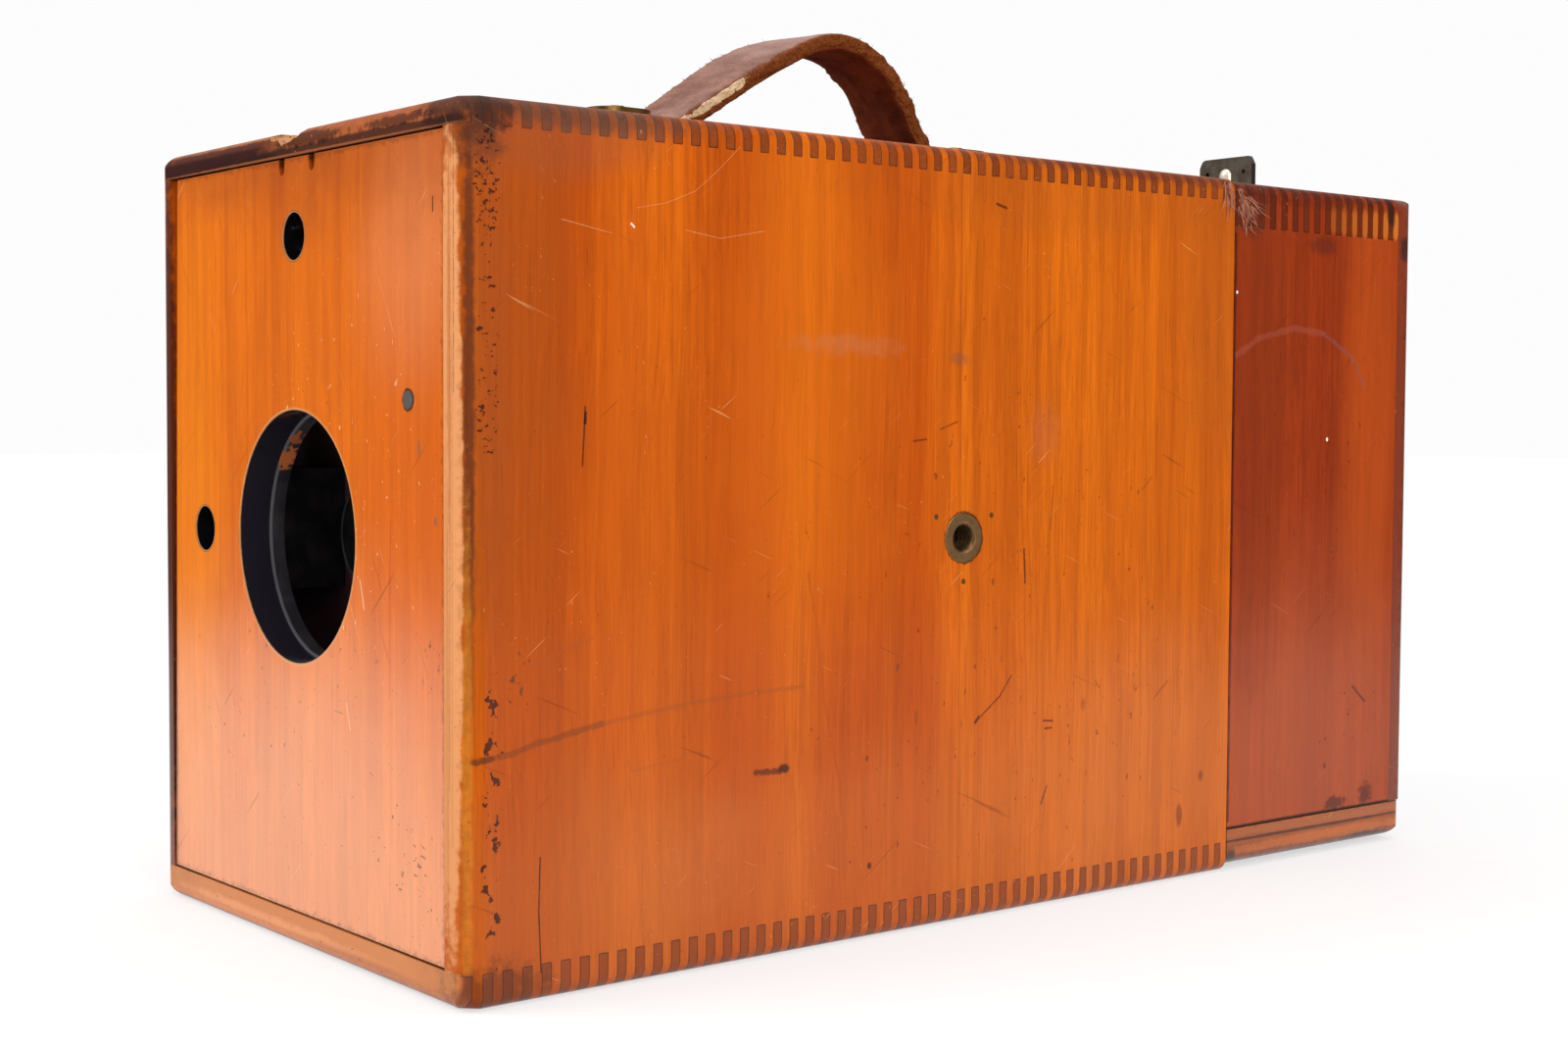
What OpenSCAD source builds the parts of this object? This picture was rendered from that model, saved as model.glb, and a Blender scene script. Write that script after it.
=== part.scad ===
// Roll film camera of varnished wood, about 1890, for pictures 4 by 5 inches.
// A finger-jointed casing holds the lens, its shutter and two finders, and a
// finger-jointed rear cover lifts off a roll holder with two spools.
// Millimetres. +Z is up, the lens looks along -Y, and the origin is on the
// resting face, under the middle of the whole length.

/* [Casing] */
// Width across the two side boards
casing_w = 132; // [128:1:144]
// Height of the casing
casing_h = 165; // [162:1:175]
// Length of the casing, from its front face to the seam
casing_len = 210; // [190:1:240]
// Thickness of each side board
side_t = 6.4; // [6:0.1:8]
// Thickness of the top board
top_t = 5.4; // [4.6:0.1:7]
// Thickness of the bottom board
bottom_t = 7; // [6:0.1:8.5]
// Width of one finger and one gap of the corner joints
joint_pitch = 4.2; // [3.6:0.1:8]
// Radius rubbed on the outer edges
edge_r = 3.2; // [2:0.1:4.2]
// Radius rubbed on the left upright edge of the front
worn_r = 5; // [3:0.1:5.8]
// Rounding of the front corners, where three rubbed edges meet
corner_r = 5; // [3:0.1:8]

/* [Front panel] */
// Thickness of the front panel
panel_t = 6.7; // [5:0.1:8]
// Gap all round the front panel
panel_gap = 0.4; // [0.3:0.1:1]
// Extra gap that shrinkage opened at its top left corner
panel_shrink = 3.2; // [0:0.1:3.4]
// How far the panel lies behind the casing's front edges
panel_recess = 0.3; // [0.1:0.1:1]
// Radius of each finder hole
finder_hole_r = 4.8; // [3:0.1:6]
// Depth of the black collar
collar_t = 3.3; // [2:0.1:4]
// Width of the black collar behind the lens opening
collar_w = 5.2; // [3:0.1:6]
// Radius of the lead plug in the front panel
plug_r = 1.8; // [1:0.1:3]

/* [Lens and stops] */
// Height of the lens axis above the resting face
lens_z = 83.4; // [80:0.1:86]
// Distance from the casing's front to the lens board
lens_board_from_front = 28.2; // [27:0.1:34]
// Thickness of the lens board
lens_board_t = 6; // [5:0.5:8]
// Distance from the casing's front to the lens barrel
barrel_from_front = 16; // [13:0.1:18]
// Outer radius of the lens barrel
barrel_r = 10.5; // [9.5:0.1:11]
// Wall of the lens barrel
barrel_wall = 1.5; // [1:0.1:2]
// Radius of curvature of the lens faces
glass_curve_r = 26; // [20:1:60]
// Thickness of each lens at its middle
glass_t = 4; // [3.6:0.1:5]
// Thickness of the barrel's flange
flange_t = 2; // [1.5:0.1:3]
// Width of the barrel's flange
flange_w = 5.6; // [5:0.1:6.5]
// Distance from the lens axis down to the pivot of the stop disc
stop_reach = 20; // [19:0.5:22]
// Thickness of the stop disc and of the shutter disc
disc_t = 0.8; // [0.5:0.1:1.2]
// Radii of the three stops
stop_radii = [7, 4.5, 2.8];
// Radius of the stop disc's knob
stop_knob_r = 3; // [2:0.1:3.2]

/* [Shutter and release] */
// Distance from the lens axis up to the shutter arbor
shutter_reach = 22.5; // [21:0.5:25]
// Radius of the shutter disc
shutter_r = 33.5; // [32:0.5:35]
// Radius of the shutter arbor
arbor_r = 2.2; // [1.5:0.1:3]
// Turns of the main spring
spring_turns = 4; // [2:1:6]
// Radius of the release button
button_r = 3; // [2.5:0.1:4]
// Travel of the release button
button_travel = 2; // [1:0.1:2.4]
// Height of the release button above the lens axis
button_above_lens = 41.6; // [40:0.1:44]
// Distance on the trip lever from its pivot to the button
trip_arm = 12; // [11:0.5:14]

/* [Finders] */
// Depth of the top finder's axis below the top board
top_reach = 16; // [15:0.1:18]
// Depth of the side finder's axis inside the left side board
side_reach = 16.9; // [15:0.1:18]
// Width of each finder housing
finder_w = 26; // [22:0.5:30]
// Depth of each finder housing, front to back
finder_d = 20.5; // [18:0.1:21]
// Wall of each finder housing
finder_wall = 1.6; // [1:0.1:2.5]
// Thickness of each finder mirror and window
finder_glass_t = 1.6; // [1:0.1:2.5]

/* [Tripod bushes] */
// Distance from the casing's front to the tripod bushes
bush_from_front = 122.8; // [110:0.1:135]
// Outer radius of each bush
bush_r = 5.4; // [4.5:0.1:6.5]
// Bore of each bush, the tapping size of a quarter inch thread
bush_bore_r = 2.55; // [2.4:0.05:3.2]
// Radius of each bush's inner flange
bush_flange_r = 13; // [12:0.5:16]
// Thickness of that flange
bush_flange_t = 3; // [2:0.5:5]
// Radius of the ring of three pins
pin_ring_r = 9.3; // [8:0.1:10]
// Radius of each pin
pin_r = 0.6; // [0.5:0.1:1]

/* [Handle] */
// Width of the leather strap
strap_w = 21; // [16:0.5:28]
// Thickness of the leather strap
strap_t = 4.2; // [3:0.1:6]
// Distance from the casing's front to the front bend of the strap
strap_from_front = 84; // [70:1:100]
// Length between the strap's two bends
strap_span = 82.5; // [76:0.5:100]
// Height of the strap's crown above the top board
strap_rise = 32.4; // [30:0.1:40]
// How much flatter the strap's rear end is pressed than its front end
rear_press = 0.9; // [0:0.1:1.5]
// Length of each doubled end of the strap
strap_end = 17; // [15:0.5:22]
// Thickness of the handle plates
plate_t = 1.4; // [1:0.1:2]
// Length of each handle plate
plate_len = 15; // [14:0.5:18]

/* [Rear cover and base] */
// Length of the rear section behind the seam
cover_len = 70; // [66:0.1:80]
// Thickness of the cover's side boards
cover_side_t = 6; // [5:0.1:6.5]
// Thickness of the cover's rear board
cover_rear_t = 6; // [5:0.1:7]
// Thickness of the cover's top board
cover_top_t = 10.7; // [9:0.1:11]
// How far the cover's top lies below the casing's top
cover_drop = 0.5; // [0.2:0.1:1]
// Gap at the seam
seam_gap = 0.3; // [0.2:0.1:0.6]
// Thickness of the rear base
base_t = 5.8; // [4.5:0.1:6.2]
// Thickness of the ledge board on the rear base
ledge_t = 2.9; // [2.4:0.1:4]
// How far the ledge board reaches into the casing
ledge_reach = 30; // [20:1:40]
// How far the base's rear end lies inside the cover's rear face
base_short = 0.7; // [0.3:0.1:1.5]

/* [Roll holder] */
// Width of the picture
picture_w = 102; // [98:1:104]
// Height of the rail above the picture opening
gate_rail = 12.7; // [12:0.1:20]
// Thickness of the board around the picture opening
gate_t = 6; // [5:0.5:9]
// Distance of each spool axis from the middle
spool_x = 33.5; // [31:0.5:35]
// Distance of the spool axes behind the seam
spool_back = 36; // [34:0.5:37]
// Radius of each wooden spool core
core_r = 8; // [6:0.5:9]
// Radius of each spool flange
spool_flange_r = 20; // [18:0.5:22]
// Thickness of each spool flange
spool_flange_t = 2; // [1.5:0.1:2.4]
// Radius of the full film roll
full_roll_r = 16; // [12:0.5:18]
// Radius of the started film roll
started_roll_r = 10; // [9.5:0.5:14]
// Radius of each guide roller
roller_r = 3.5; // [3:0.1:4]
// Thickness of the film with its paper
film_t = 0.25; // [0.2:0.05:0.3]
// Thickness of the board behind the film
platen_t = 4; // [3:0.5:5]
// Thickness of the holder's brass upper plate
upper_plate_t = 1.5; // [1:0.1:1.8]
// Teeth on the ratchet wheel
ratchet_teeth = 20; // [10:5:20]

/* [Winding key] */
// Radius of the key's shaft in its bush
key_shaft_r = 2.5; // [2:0.1:2.7]
// Radius of the key's head, which holds the thumb plate
key_head_r = 2; // [1.8:0.1:2.3]
// Width of the thumb plate
thumb_w = 17; // [14:0.5:22]
// Height of the thumb plate
thumb_h = 8.6; // [7:0.1:12]
// Thickness of the thumb plate
thumb_t = 1.6; // [1:0.1:1.8]

/* [Hidden] */
$fn = 64;

// Overall length and the planes across it
total_len = casing_len + cover_len;
front_y = -total_len / 2;
seam_y = front_y + casing_len;
rear_y = total_len / 2;
half_w = casing_w / 2;
inner_x = half_w - side_t;
inner_top = casing_h - top_t;

// A running fit, a glued or screwed seat, and the least gap between moving pieces
running = 0.05;
seat = 0.05;
clear = 0.3;

// Finders: their window openings, and how deep the side one reaches in. The
// lens opening and its collar take the room beside it.
window_w = finder_w - 2 * finder_wall;
window_d = finder_d - 2 * finder_wall;
finder_foot = 0.8;
side_depth = side_reach + window_d / 2 + finder_wall + finder_foot;
collar_gap = 0.95;
opening_r = inner_x - side_depth - collar_gap - collar_w;

// Front panel and the pieces behind it
panel_front_y = front_y + panel_recess;
panel_back_y = panel_front_y + panel_t;
top_finder_z = inner_top - top_reach;
side_finder_x = -(inner_x - side_reach);
notch_r = 1.1;
notch_depth = 3.2;
notch_places = [-5, 8];
plug_inset = 13.3;
plug_x = inner_x - plug_inset;
plug_above_lens = 27.3;
block_size = 8;
block_len = 30;

// Lens, stops and shutter, from the front to the back
lens_board_y = front_y + lens_board_from_front;
lens_board_back = lens_board_y + lens_board_t;
barrel_front = front_y + barrel_from_front;
barrel_back = lens_board_back + 4;
barrel_bore = barrel_r - barrel_wall;
lip_depth = 3;
lip_r = barrel_bore + barrel_wall / 2;
front_glass_y = barrel_front + lip_depth + 0.6;
rear_glass_y = barrel_back - 0.6 - glass_t;
screw_r = 1.1;
flange_screw_ring = barrel_r + flange_w / 2;
stop_y = barrel_back + 0.6;
stop_pivot_z = lens_z - stop_reach;
stop_disc_r = stop_reach + barrel_bore + 0.5;
stop_spindle_r = 1.5;
knob_t = 3;
shutter_y = stop_y + disc_t + 1.2;
arbor_z = lens_z + shutter_reach;
hub_r = 5;
hub_len = 5.6;
spring_gap = 0.5;
spring_strip = 0.4;
spring_h = 3;
spring_y = shutter_y + disc_t + 0.8;
spring_growth = 2.1;
bridge_y = shutter_y + hub_len + 0.6;
bridge_t = 1.2;
bridge_half = 5;
bridge_angle = 35;
pillar_r = 2.5;
pillar_reach = shutter_r + pillar_r + 3;
exposure_hole_r = barrel_bore + 0.4;

// Release button, at its height on the left side, and its trip lever
button_z = lens_z + button_above_lens;
button_y = shutter_y + disc_t / 2;
button_proud = 2.6;
bush_proud = 0.8;
trip_pivot_r = 1.6;
trip_hub_r = 3.4;
trip_t = 1.2;
trip_half = 1.6;
trip_x = -(shutter_r + 8.5);
trip_z = button_z - trip_arm;
trip_tooth_z = arbor_z - 4;
trip_tooth_h = 3.2;
trip_notch_w = 3.8;
trip_pad_h = 3;
trip_pad_reach = 4;
trip_pad_x = trip_x - trip_pad_reach;
trip_head = 3;
collar_height = 1.2;
button_collar_r = button_r + 1.4;

// Tripod bushes and their pins
bush_y = front_y + bush_from_front;
bush_z = casing_h / 2;
pin_angles = [30, 150, 270];

// Handle
strap_front_y = front_y + strap_from_front;
strap_rear_y = strap_front_y + strap_span;
strap_end_top = casing_h + 2 * strap_t;
plate_w = strap_w + 2;
plate_corner = 5;
handle_screw_r = 1.3;
handle_screw_x = 5.5;

// Rear cover, ledge board and base
cover_front_y = seam_y + seam_gap;
cover_top_z = casing_h - cover_drop;
cover_ceiling = cover_top_z - cover_top_t;
cover_inner_x = half_w - cover_side_t;
cover_inner_y = rear_y - cover_rear_t;
ledge_top = bottom_t + ledge_t;
cover_foot = ledge_top + clear;
base_rear_y = rear_y - base_short;
cover_edge_r = 2.6;
base_edge_r = 6;

// Roll holder
picture_z = lens_z;
picture_h = 2 * (inner_top - gate_rail - picture_z);
spool_y = seam_y + spool_back;
lower_plate_t = 7;
lower_plate_top = ledge_top + lower_plate_t;
upper_plate_z = cover_ceiling - 4.2;
upper_plate_top = upper_plate_z + upper_plate_t;
plate_front_y = seam_y + 0.8;
plate_rear_y = spool_y + spool_flange_r + 2;
plate_half = cover_inner_x - 2;
journal_r = 3;
head_r = 3.5;
journal_depth = 5;
roller_x = plate_half - roller_r - 0.9;
roller_y = seam_y + roller_r + 1.7;
roller_pin_r = 1.2;
film_front_y = roller_y - roller_r - clear - film_t;
pillar_inset = 4;
ratchet_r = 8.5;
ratchet_root = 7.2;
ratchet_t = 1.2;
ratchet_z = upper_plate_top + clear;
pawl_reach = 15;
pawl_angle = -50;
pawl_pin_r = 1.5;
pawl_hub_r = 3;
film_edge = 0.5;

// Winding key
key_bush_r = 4.5;
key_bush_flange_r = 6;
key_bush_flange_t = 0.8;
key_collar_r = 3.6;
key_collar_z = cover_top_z + key_bush_flange_t + 0.2;
thumb_z = key_collar_z + 1.2;
key_head_h = 6;
spool_head_z = ratchet_z + ratchet_t + clear;
key_shaft_foot = spool_head_z + 0.4;
tang_t = 1.4;
tang_w = 4.4;
tang_len = 4.5;
tang_clear = 0.2;

// Colours that the photograph shows
side_wood = [0.78, 0.36, 0.08];
panel_wood = [0.86, 0.46, 0.10];
cover_wood = [0.62, 0.22, 0.08];
end_grain = [0.48, 0.25, 0.14];
bare_wood = [0.76, 0.55, 0.33];
black_paint = [0.06, 0.06, 0.08];
aged_brass = [0.55, 0.42, 0.27];
dark_steel = [0.30, 0.29, 0.27];
bright_steel = [0.80, 0.79, 0.75];
dark_leather = [0.36, 0.18, 0.11];
lead_grey = [0.40, 0.40, 0.40];
clear_glass = [0.75, 0.82, 0.82, 0.5];
film_grey = [0.45, 0.42, 0.38];

// Extrudes a profile drawn in X and Z from the plane y, towards +Y
module along_y(y, length) {
    translate([0, y + length, 0]) rotate([90, 0, 0]) linear_extrude(length) children();
}

// Extrudes a profile drawn in Y and Z from the plane x, towards +X
module along_x(x, length) {
    translate([x, 0, 0]) rotate([90, 0, 90]) linear_extrude(length) children();
}

// Extrudes a profile drawn in X and Y from the height z, towards +Z
module along_z(z, length) {
    translate([0, 0, z]) linear_extrude(length) children();
}

// A round bar along +Y from the plane y, around the axis at x and z
module bar_y(x, y, z, r, length) {
    translate([x, y, z]) rotate([-90, 0, 0]) cylinder(r = r, h = length);
}

// A round bar along +X from the plane x, around the axis at y and z
module bar_x(x, y, z, r, length) {
    translate([x, y, z]) rotate([0, 90, 0]) cylinder(r = r, h = length);
}

// A rectangle from low to high, with one radius for each corner in turn:
// low x and low y, high x and low y, high x and high y, low x and high y
module soft_rectangle(low, high, radii) {
    corners = [low, [high.x, low.y], high, [low.x, high.y]];
    inward = [[1, 1], [-1, 1], [-1, -1], [1, -1]];
    difference() {
        translate(low) square(high - low);
        for (i = [0:3])
            if (radii[i] > 0)
                translate(corners[i]) mirror([inward[i].x < 0 ? 1 : 0, 0])
                    mirror([0, inward[i].y < 0 ? 1 : 0]) difference() {
                        translate([-1, -1]) square(radii[i] + 1);
                        translate([radii[i], radii[i]]) circle(r = radii[i]);
                    }
    }
}

// The casing's outer form, with its rubbed edges
module casing_form() {
    intersection() {
        along_y(front_y, casing_len)
            soft_rectangle([-half_w, 0], [half_w, casing_h], [edge_r, edge_r, edge_r, edge_r]);
        along_z(0, casing_h)
            soft_rectangle([-half_w, front_y], [half_w, seam_y], [worn_r, edge_r, 0, 0]);
        along_x(-half_w, casing_w)
            soft_rectangle([front_y, 0], [seam_y, casing_h], [edge_r, 0, 0, edge_r]);
        corner_wear(-45, worn_r);
        corner_wear(45, edge_r);
    }
}

// The bar that rounds the upper and lower front corners on one side. It lies
// across the corner's diagonal, just outside the rounded upright edge.
module corner_wear(turn, upright_r) {
    reach = (half_w - front_y - 2 * upright_r) / sqrt(2) + upright_r + 0.05;
    rotate([0, 0, turn]) along_x(-total_len, 2 * total_len)
        soft_rectangle([-reach, 0], [total_len, casing_h], [corner_r, 0, 0, corner_r]);
}

// The rear cover's outer form
module cover_form() {
    intersection() {
        along_y(cover_front_y, rear_y - cover_front_y)
            soft_rectangle([-half_w, cover_foot], [half_w, cover_top_z], [0, 0, edge_r, edge_r]);
        along_z(cover_foot, cover_top_z - cover_foot)
            soft_rectangle([-half_w, cover_front_y], [half_w, rear_y],
                [0, 0, cover_edge_r, cover_edge_r]);
        along_x(-half_w, casing_w)
            soft_rectangle([cover_front_y, cover_foot], [rear_y, cover_top_z],
                [0, 0, cover_edge_r, 0]);
    }
}

// The outer form of the rear base and its ledge board
module base_form() {
    intersection() {
        along_y(cover_front_y, base_rear_y - cover_front_y)
            soft_rectangle([-half_w, bottom_t - base_t], [half_w, ledge_top],
                [edge_r, edge_r, 0, 0]);
        along_z(bottom_t - base_t, base_t + ledge_t)
            soft_rectangle([-half_w, cover_front_y], [half_w, base_rear_y],
                [0, 0, cover_edge_r, cover_edge_r]);
        along_x(-half_w, casing_w)
            soft_rectangle([cover_front_y, bottom_t - base_t], [base_rear_y, ledge_top],
                [0, base_edge_r, 0, 0]);
    }
}

// Corner joints: along the seam of two boards, each pitch holds one finger of
// the top or bottom board and then one finger of the side board.
function finger_count(length) = round(length / joint_pitch);

// Points along a board's edge, walking forwards: first at level a, then at b
function finger_edge(start, length, a, b) = let (
    count = finger_count(length),
    pitch = length / count
) [
    for (k = [0:count - 1], corner = [0:3])
        [start + (k + [0, 0.5, 0.5, 1][corner]) * pitch, corner < 2 ? a : b]
];

function backwards(points) = [for (i = [len(points) - 1:-1:0]) points[i]];

function swapped(points) = [for (p = points) [p.y, p.x]];

// Outline in Y and Z of a side board whose fingers meet a board above, and
// another below if foot is less than foot_in
module side_outline(start, length, foot, foot_in, head_in, head) {
    lower = foot < foot_in
        ? finger_edge(start, length, foot_in, foot)
        : [[start, foot], [start + length, foot]];
    polygon(concat(lower, backwards(finger_edge(start, length, head_in, head))));
}

// Outline in X and Y of a top or bottom board with fingers along both sides
module deck_outline(start, length, reach_in, reach) {
    right = swapped(finger_edge(start, length, reach, reach_in));
    left = swapped(finger_edge(start, length, -reach, -reach_in));
    polygon(concat(right, backwards(left)));
}

module casing_side(x) {
    intersection() {
        along_x(x, side_t)
            side_outline(front_y, casing_len, 0, bottom_t, inner_top, casing_h);
        casing_form();
    }
}

// Holes for the three pins around a bush, in the plane of its board
module pin_holes() {
    for (angle = pin_angles)
        rotate(angle) translate([pin_ring_r, 0]) circle(r = pin_r);
}

module side_board_right() {
    color(side_wood) difference() {
        casing_side(inner_x);
        bar_x(inner_x - 1, bush_y, bush_z, bush_r, side_t + 2);
        translate([inner_x - 1, bush_y, bush_z]) rotate([90, 0, 90])
            linear_extrude(side_t + 2) pin_holes();
    }
}

module side_board_left() {
    color(side_wood) difference() {
        casing_side(-half_w);
        translate([-half_w - 1, finder_front_y + finder_wall, lens_z - window_w / 2])
            cube([side_t + 2, window_d, window_w]);
        bar_x(-half_w - 1, button_y, button_z, button_bush_r, side_t + 2);
    }
}

// The front of the finders' housings, and the places of bush and eyelet
finder_front_y = panel_back_y + clear;
button_bush_r = button_r + 2.4;
eyelet_x = hub_r + 1;
eyelet_y = spring_y + spring_h / 2;
eyelet_r = 2.4;
eyelet_bore_r = 1.3;

module top_board() {
    color(side_wood) difference() {
        intersection() {
            along_z(inner_top, top_t) deck_outline(front_y, casing_len, inner_x, half_w);
            casing_form();
        }
        translate([-window_w / 2, finder_front_y + finder_wall, inner_top - 1])
            cube([window_w, window_d, top_t + 2]);
        translate([eyelet_x, eyelet_y, inner_top - 1]) cylinder(r = eyelet_r, h = top_t + 2);
        handle_screw_holes(casing_h - handle_screw_grip, handle_screw_grip + 1);
    }
}

module bottom_board() {
    color(side_wood) difference() {
        intersection() {
            along_z(0, bottom_t) deck_outline(front_y, casing_len, inner_x, half_w);
            casing_form();
        }
        translate([0, bush_y, -1]) cylinder(r = bush_r, h = bottom_t + 2);
        translate([0, bush_y, -1]) linear_extrude(bottom_t + 2) rotate(90) pin_holes();
    }
}

// Glue blocks in the casing's front corners, which stop the front panel
module corner_blocks() {
    color(bare_wood)
        for (x = [-inner_x, inner_x - block_size], z = [bottom_t, inner_top - block_len])
            translate([x, panel_back_y, z]) cube([block_size, block_size, block_len]);
}

// A threaded bush: a flush tube and a flange behind the board
module tripod_bush(board_t) {
    difference() {
        union() {
            cylinder(r = bush_r - seat, h = board_t);
            translate([0, 0, board_t]) cylinder(r = bush_flange_r, h = bush_flange_t);
        }
        translate([0, 0, -1]) cylinder(r = bush_bore_r, h = board_t + bush_flange_t + 2);
        translate([0, 0, -1]) cylinder(r1 = bush_bore_r + 1.8, r2 = bush_bore_r, h = 1.8);
        translate([0, 0, -1]) linear_extrude(board_t + bush_flange_t + 2) pin_holes();
    }
}

module tripod_bush_side() {
    color(aged_brass) translate([half_w, bush_y, bush_z]) rotate([90, 0, -90])
        mirror([1, 0, 0]) tripod_bush(side_t);
}

module tripod_bush_base() {
    color(aged_brass) translate([0, bush_y, 0]) rotate(90) tripod_bush(bottom_t);
}

module bush_pins() {
    length = bush_flange_t - 0.2;
    color(aged_brass) {
        translate([inner_x - length, bush_y, bush_z]) rotate([90, 0, 90])
            for (angle = pin_angles)
                rotate(angle) translate([pin_ring_r, 0])
                    cylinder(r = pin_r - seat, h = side_t + length - 0.05);
        translate([0, bush_y, 0.05]) rotate(90)
            for (angle = pin_angles)
                rotate(angle) translate([pin_ring_r, 0])
                    cylinder(r = pin_r - seat, h = bottom_t + length - 0.05);
    }
}

// The strap's middle line over its span, as a smooth rise and a steeper fall:
// two cubic curves that meet level at the crown
crown_share = 0.63;
strap_foot_z = strap_end_top - strap_t / 2;
crown_z = casing_h + strap_rise - strap_t / 2;
function bezier(a, b, c, d, t) =
    a * pow(1 - t, 3) + 3 * b * pow(1 - t, 2) * t + 3 * c * (1 - t) * t * t + d * pow(t, 3);
function strap_line() = let (
    crown_y = strap_front_y + crown_share * strap_span,
    rise = crown_z - strap_foot_z,
    front = [strap_front_y, strap_foot_z],
    crown = [crown_y, crown_z],
    rear = [strap_rear_y, strap_foot_z - rear_press],
    steps = 14
) concat(
    [for (i = [0:steps]) bezier(front, front + [8, 0.8], crown - [18.4, 0], crown, i / steps)],
    [for (i = [1:steps]) bezier(crown, crown + [19.8, 0], rear + [-12, 4.3], rear, i / steps)]
);

// Points at one distance to the left of a line of points
function beside(line, distance) = [
    for (i = [0:len(line) - 1]) let (
        ahead = line[min(i + 1, len(line) - 1)] - line[max(i - 1, 0)]
    ) line[i] + distance * [-ahead.y, ahead.x] / norm(ahead)
];

module handle_strap() {
    middle = concat(
        [[strap_front_y - strap_end, strap_foot_z]],
        strap_line(),
        [[strap_rear_y + strap_end, strap_foot_z - rear_press]]
    );
    color(dark_leather) difference() {
        union() {
            along_x(-strap_w / 2, strap_w)
                polygon(concat(beside(middle, strap_t / 2), backwards(beside(middle, -strap_t / 2))));
            translate([-strap_w / 2, strap_front_y - strap_end, casing_h])
                cube([strap_w, strap_end, strap_t + 0.1]);
            translate([-strap_w / 2, strap_rear_y, casing_h])
                cube([strap_w, strap_end, strap_t + 0.1 - rear_press]);
        }
        handle_screw_holes(casing_h - 1, 2 * strap_t + 2);
    }
}

// The handle's four screws, two through each plate
handle_screw_grip = 4.4;
handle_screw_y = [strap_front_y - strap_end / 2 - 1, strap_rear_y + strap_end / 2 + 1];
module handle_screw_holes(z, height) {
    for (y = handle_screw_y, x = [-handle_screw_x, handle_screw_x])
        translate([x, y, z]) cylinder(r = handle_screw_r, h = height);
}

module handle_plate(y, z) {
    color(aged_brass) difference() {
        along_z(z, plate_t)
            soft_rectangle([-plate_w / 2, y - plate_len / 2], [plate_w / 2, y + plate_len / 2],
                [plate_corner, plate_corner, plate_corner, plate_corner]);
        handle_screw_holes(z - 1, plate_t + 2);
    }
}

module handle_plate_front() {
    handle_plate(handle_screw_y[0], strap_end_top);
}

module handle_plate_rear() {
    handle_plate(handle_screw_y[1], strap_end_top - rear_press);
}

module handle_screws() {
    head_h = 0.9;
    plate_top = [strap_end_top + plate_t, strap_end_top + plate_t - rear_press];
    color(aged_brass) for (i = [0, 1], x = [-handle_screw_x, handle_screw_x])
        translate([x, handle_screw_y[i], 0]) difference() {
            union() {
                translate([0, 0, casing_h - handle_screw_grip]) cylinder(
                    r = handle_screw_r - seat, h = plate_top[i] - casing_h + handle_screw_grip);
                translate([0, 0, plate_top[i]]) cylinder(r1 = 2.6, r2 = 1.8, h = head_h);
            }
            translate([-3, -0.3, plate_top[i] + head_h - 0.5]) cube([6, 0.6, 1]);
        }
}

// The eyelet in the top board that the shutter's cord comes out of
module shutter_cord_eyelet() {
    color(aged_brass) translate([eyelet_x, eyelet_y, 0]) difference() {
        union() {
            translate([0, 0, inner_top]) cylinder(r = eyelet_r - seat, h = top_t);
            translate([0, 0, casing_h]) cylinder(r1 = eyelet_r + 1.6, r2 = eyelet_r + 0.9, h = 0.8);
        }
        translate([0, 0, inner_top - 1]) cylinder(r = eyelet_bore_r, h = top_t + 3);
        translate([0, 0, casing_h + 0.1]) cylinder(r1 = eyelet_bore_r, r2 = eyelet_bore_r + 0.7, h = 0.71);
    }
}

// The front panel in X and Z, planed a little narrower towards its top left
module panel_outline() {
    low_z = bottom_t + panel_gap;
    high_z = inner_top - panel_gap;
    edge_x = inner_x - panel_gap;
    difference() {
        polygon([
            [-edge_x, low_z], [edge_x, low_z], [edge_x, high_z], [panel_shrink - edge_x, high_z]
        ]);
        for (x = notch_places) {
            translate([x - notch_r, high_z - notch_depth + notch_r])
                square([2 * notch_r, notch_depth]);
            translate([x, high_z - notch_depth + notch_r]) circle(r = notch_r);
        }
        translate([0, lens_z]) circle(r = opening_r);
        translate([0, top_finder_z]) circle(r = finder_hole_r);
        translate([side_finder_x, lens_z]) circle(r = finder_hole_r);
        translate([plug_x, lens_z + plug_above_lens]) circle(r = plug_r);
    }
}

module front_panel() {
    color(panel_wood) along_y(panel_front_y, panel_t) panel_outline();
}

module panel_collar() {
    color(black_paint) difference() {
        bar_y(0, panel_back_y, lens_z, opening_r + collar_w, collar_t);
        bar_y(0, panel_back_y - 1, lens_z, opening_r - 0.3, collar_t + 2);
    }
}

module panel_plug() {
    color(lead_grey)
        bar_y(plug_x, panel_front_y - 0.15, lens_z + plug_above_lens, plug_r - seat, panel_t);
}

module lens_board() {
    color(black_paint) difference() {
        translate([-inner_x, lens_board_y, bottom_t])
            cube([2 * inner_x, lens_board_t, inner_top - bottom_t]);
        bar_y(0, lens_board_y - 1, lens_z, barrel_r + seat, lens_board_t + 2);
        bar_y(0, lens_board_y - 1, stop_pivot_z, stop_spindle_r + running, lens_board_t + 2);
        bar_y(0, lens_board_back - arbor_seat, arbor_z, arbor_r + seat, arbor_seat + 1);
        for (place = bridge_places())
            bar_y(place.x, lens_board_back - arbor_seat, place.y, pillar_r + seat, arbor_seat + 1);
        bar_y(trip_x, lens_board_back - arbor_seat, trip_z, trip_pivot_r + seat, arbor_seat + 1);
        flange_screw_places() bar_y(0, lens_board_y - 1, 0, screw_r, lens_screw_grip + 1);
    }
}

// Depth of the seats for the arbor, the pillars and the trip pivot
arbor_seat = 3;
lens_screw_grip = 4;

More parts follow.
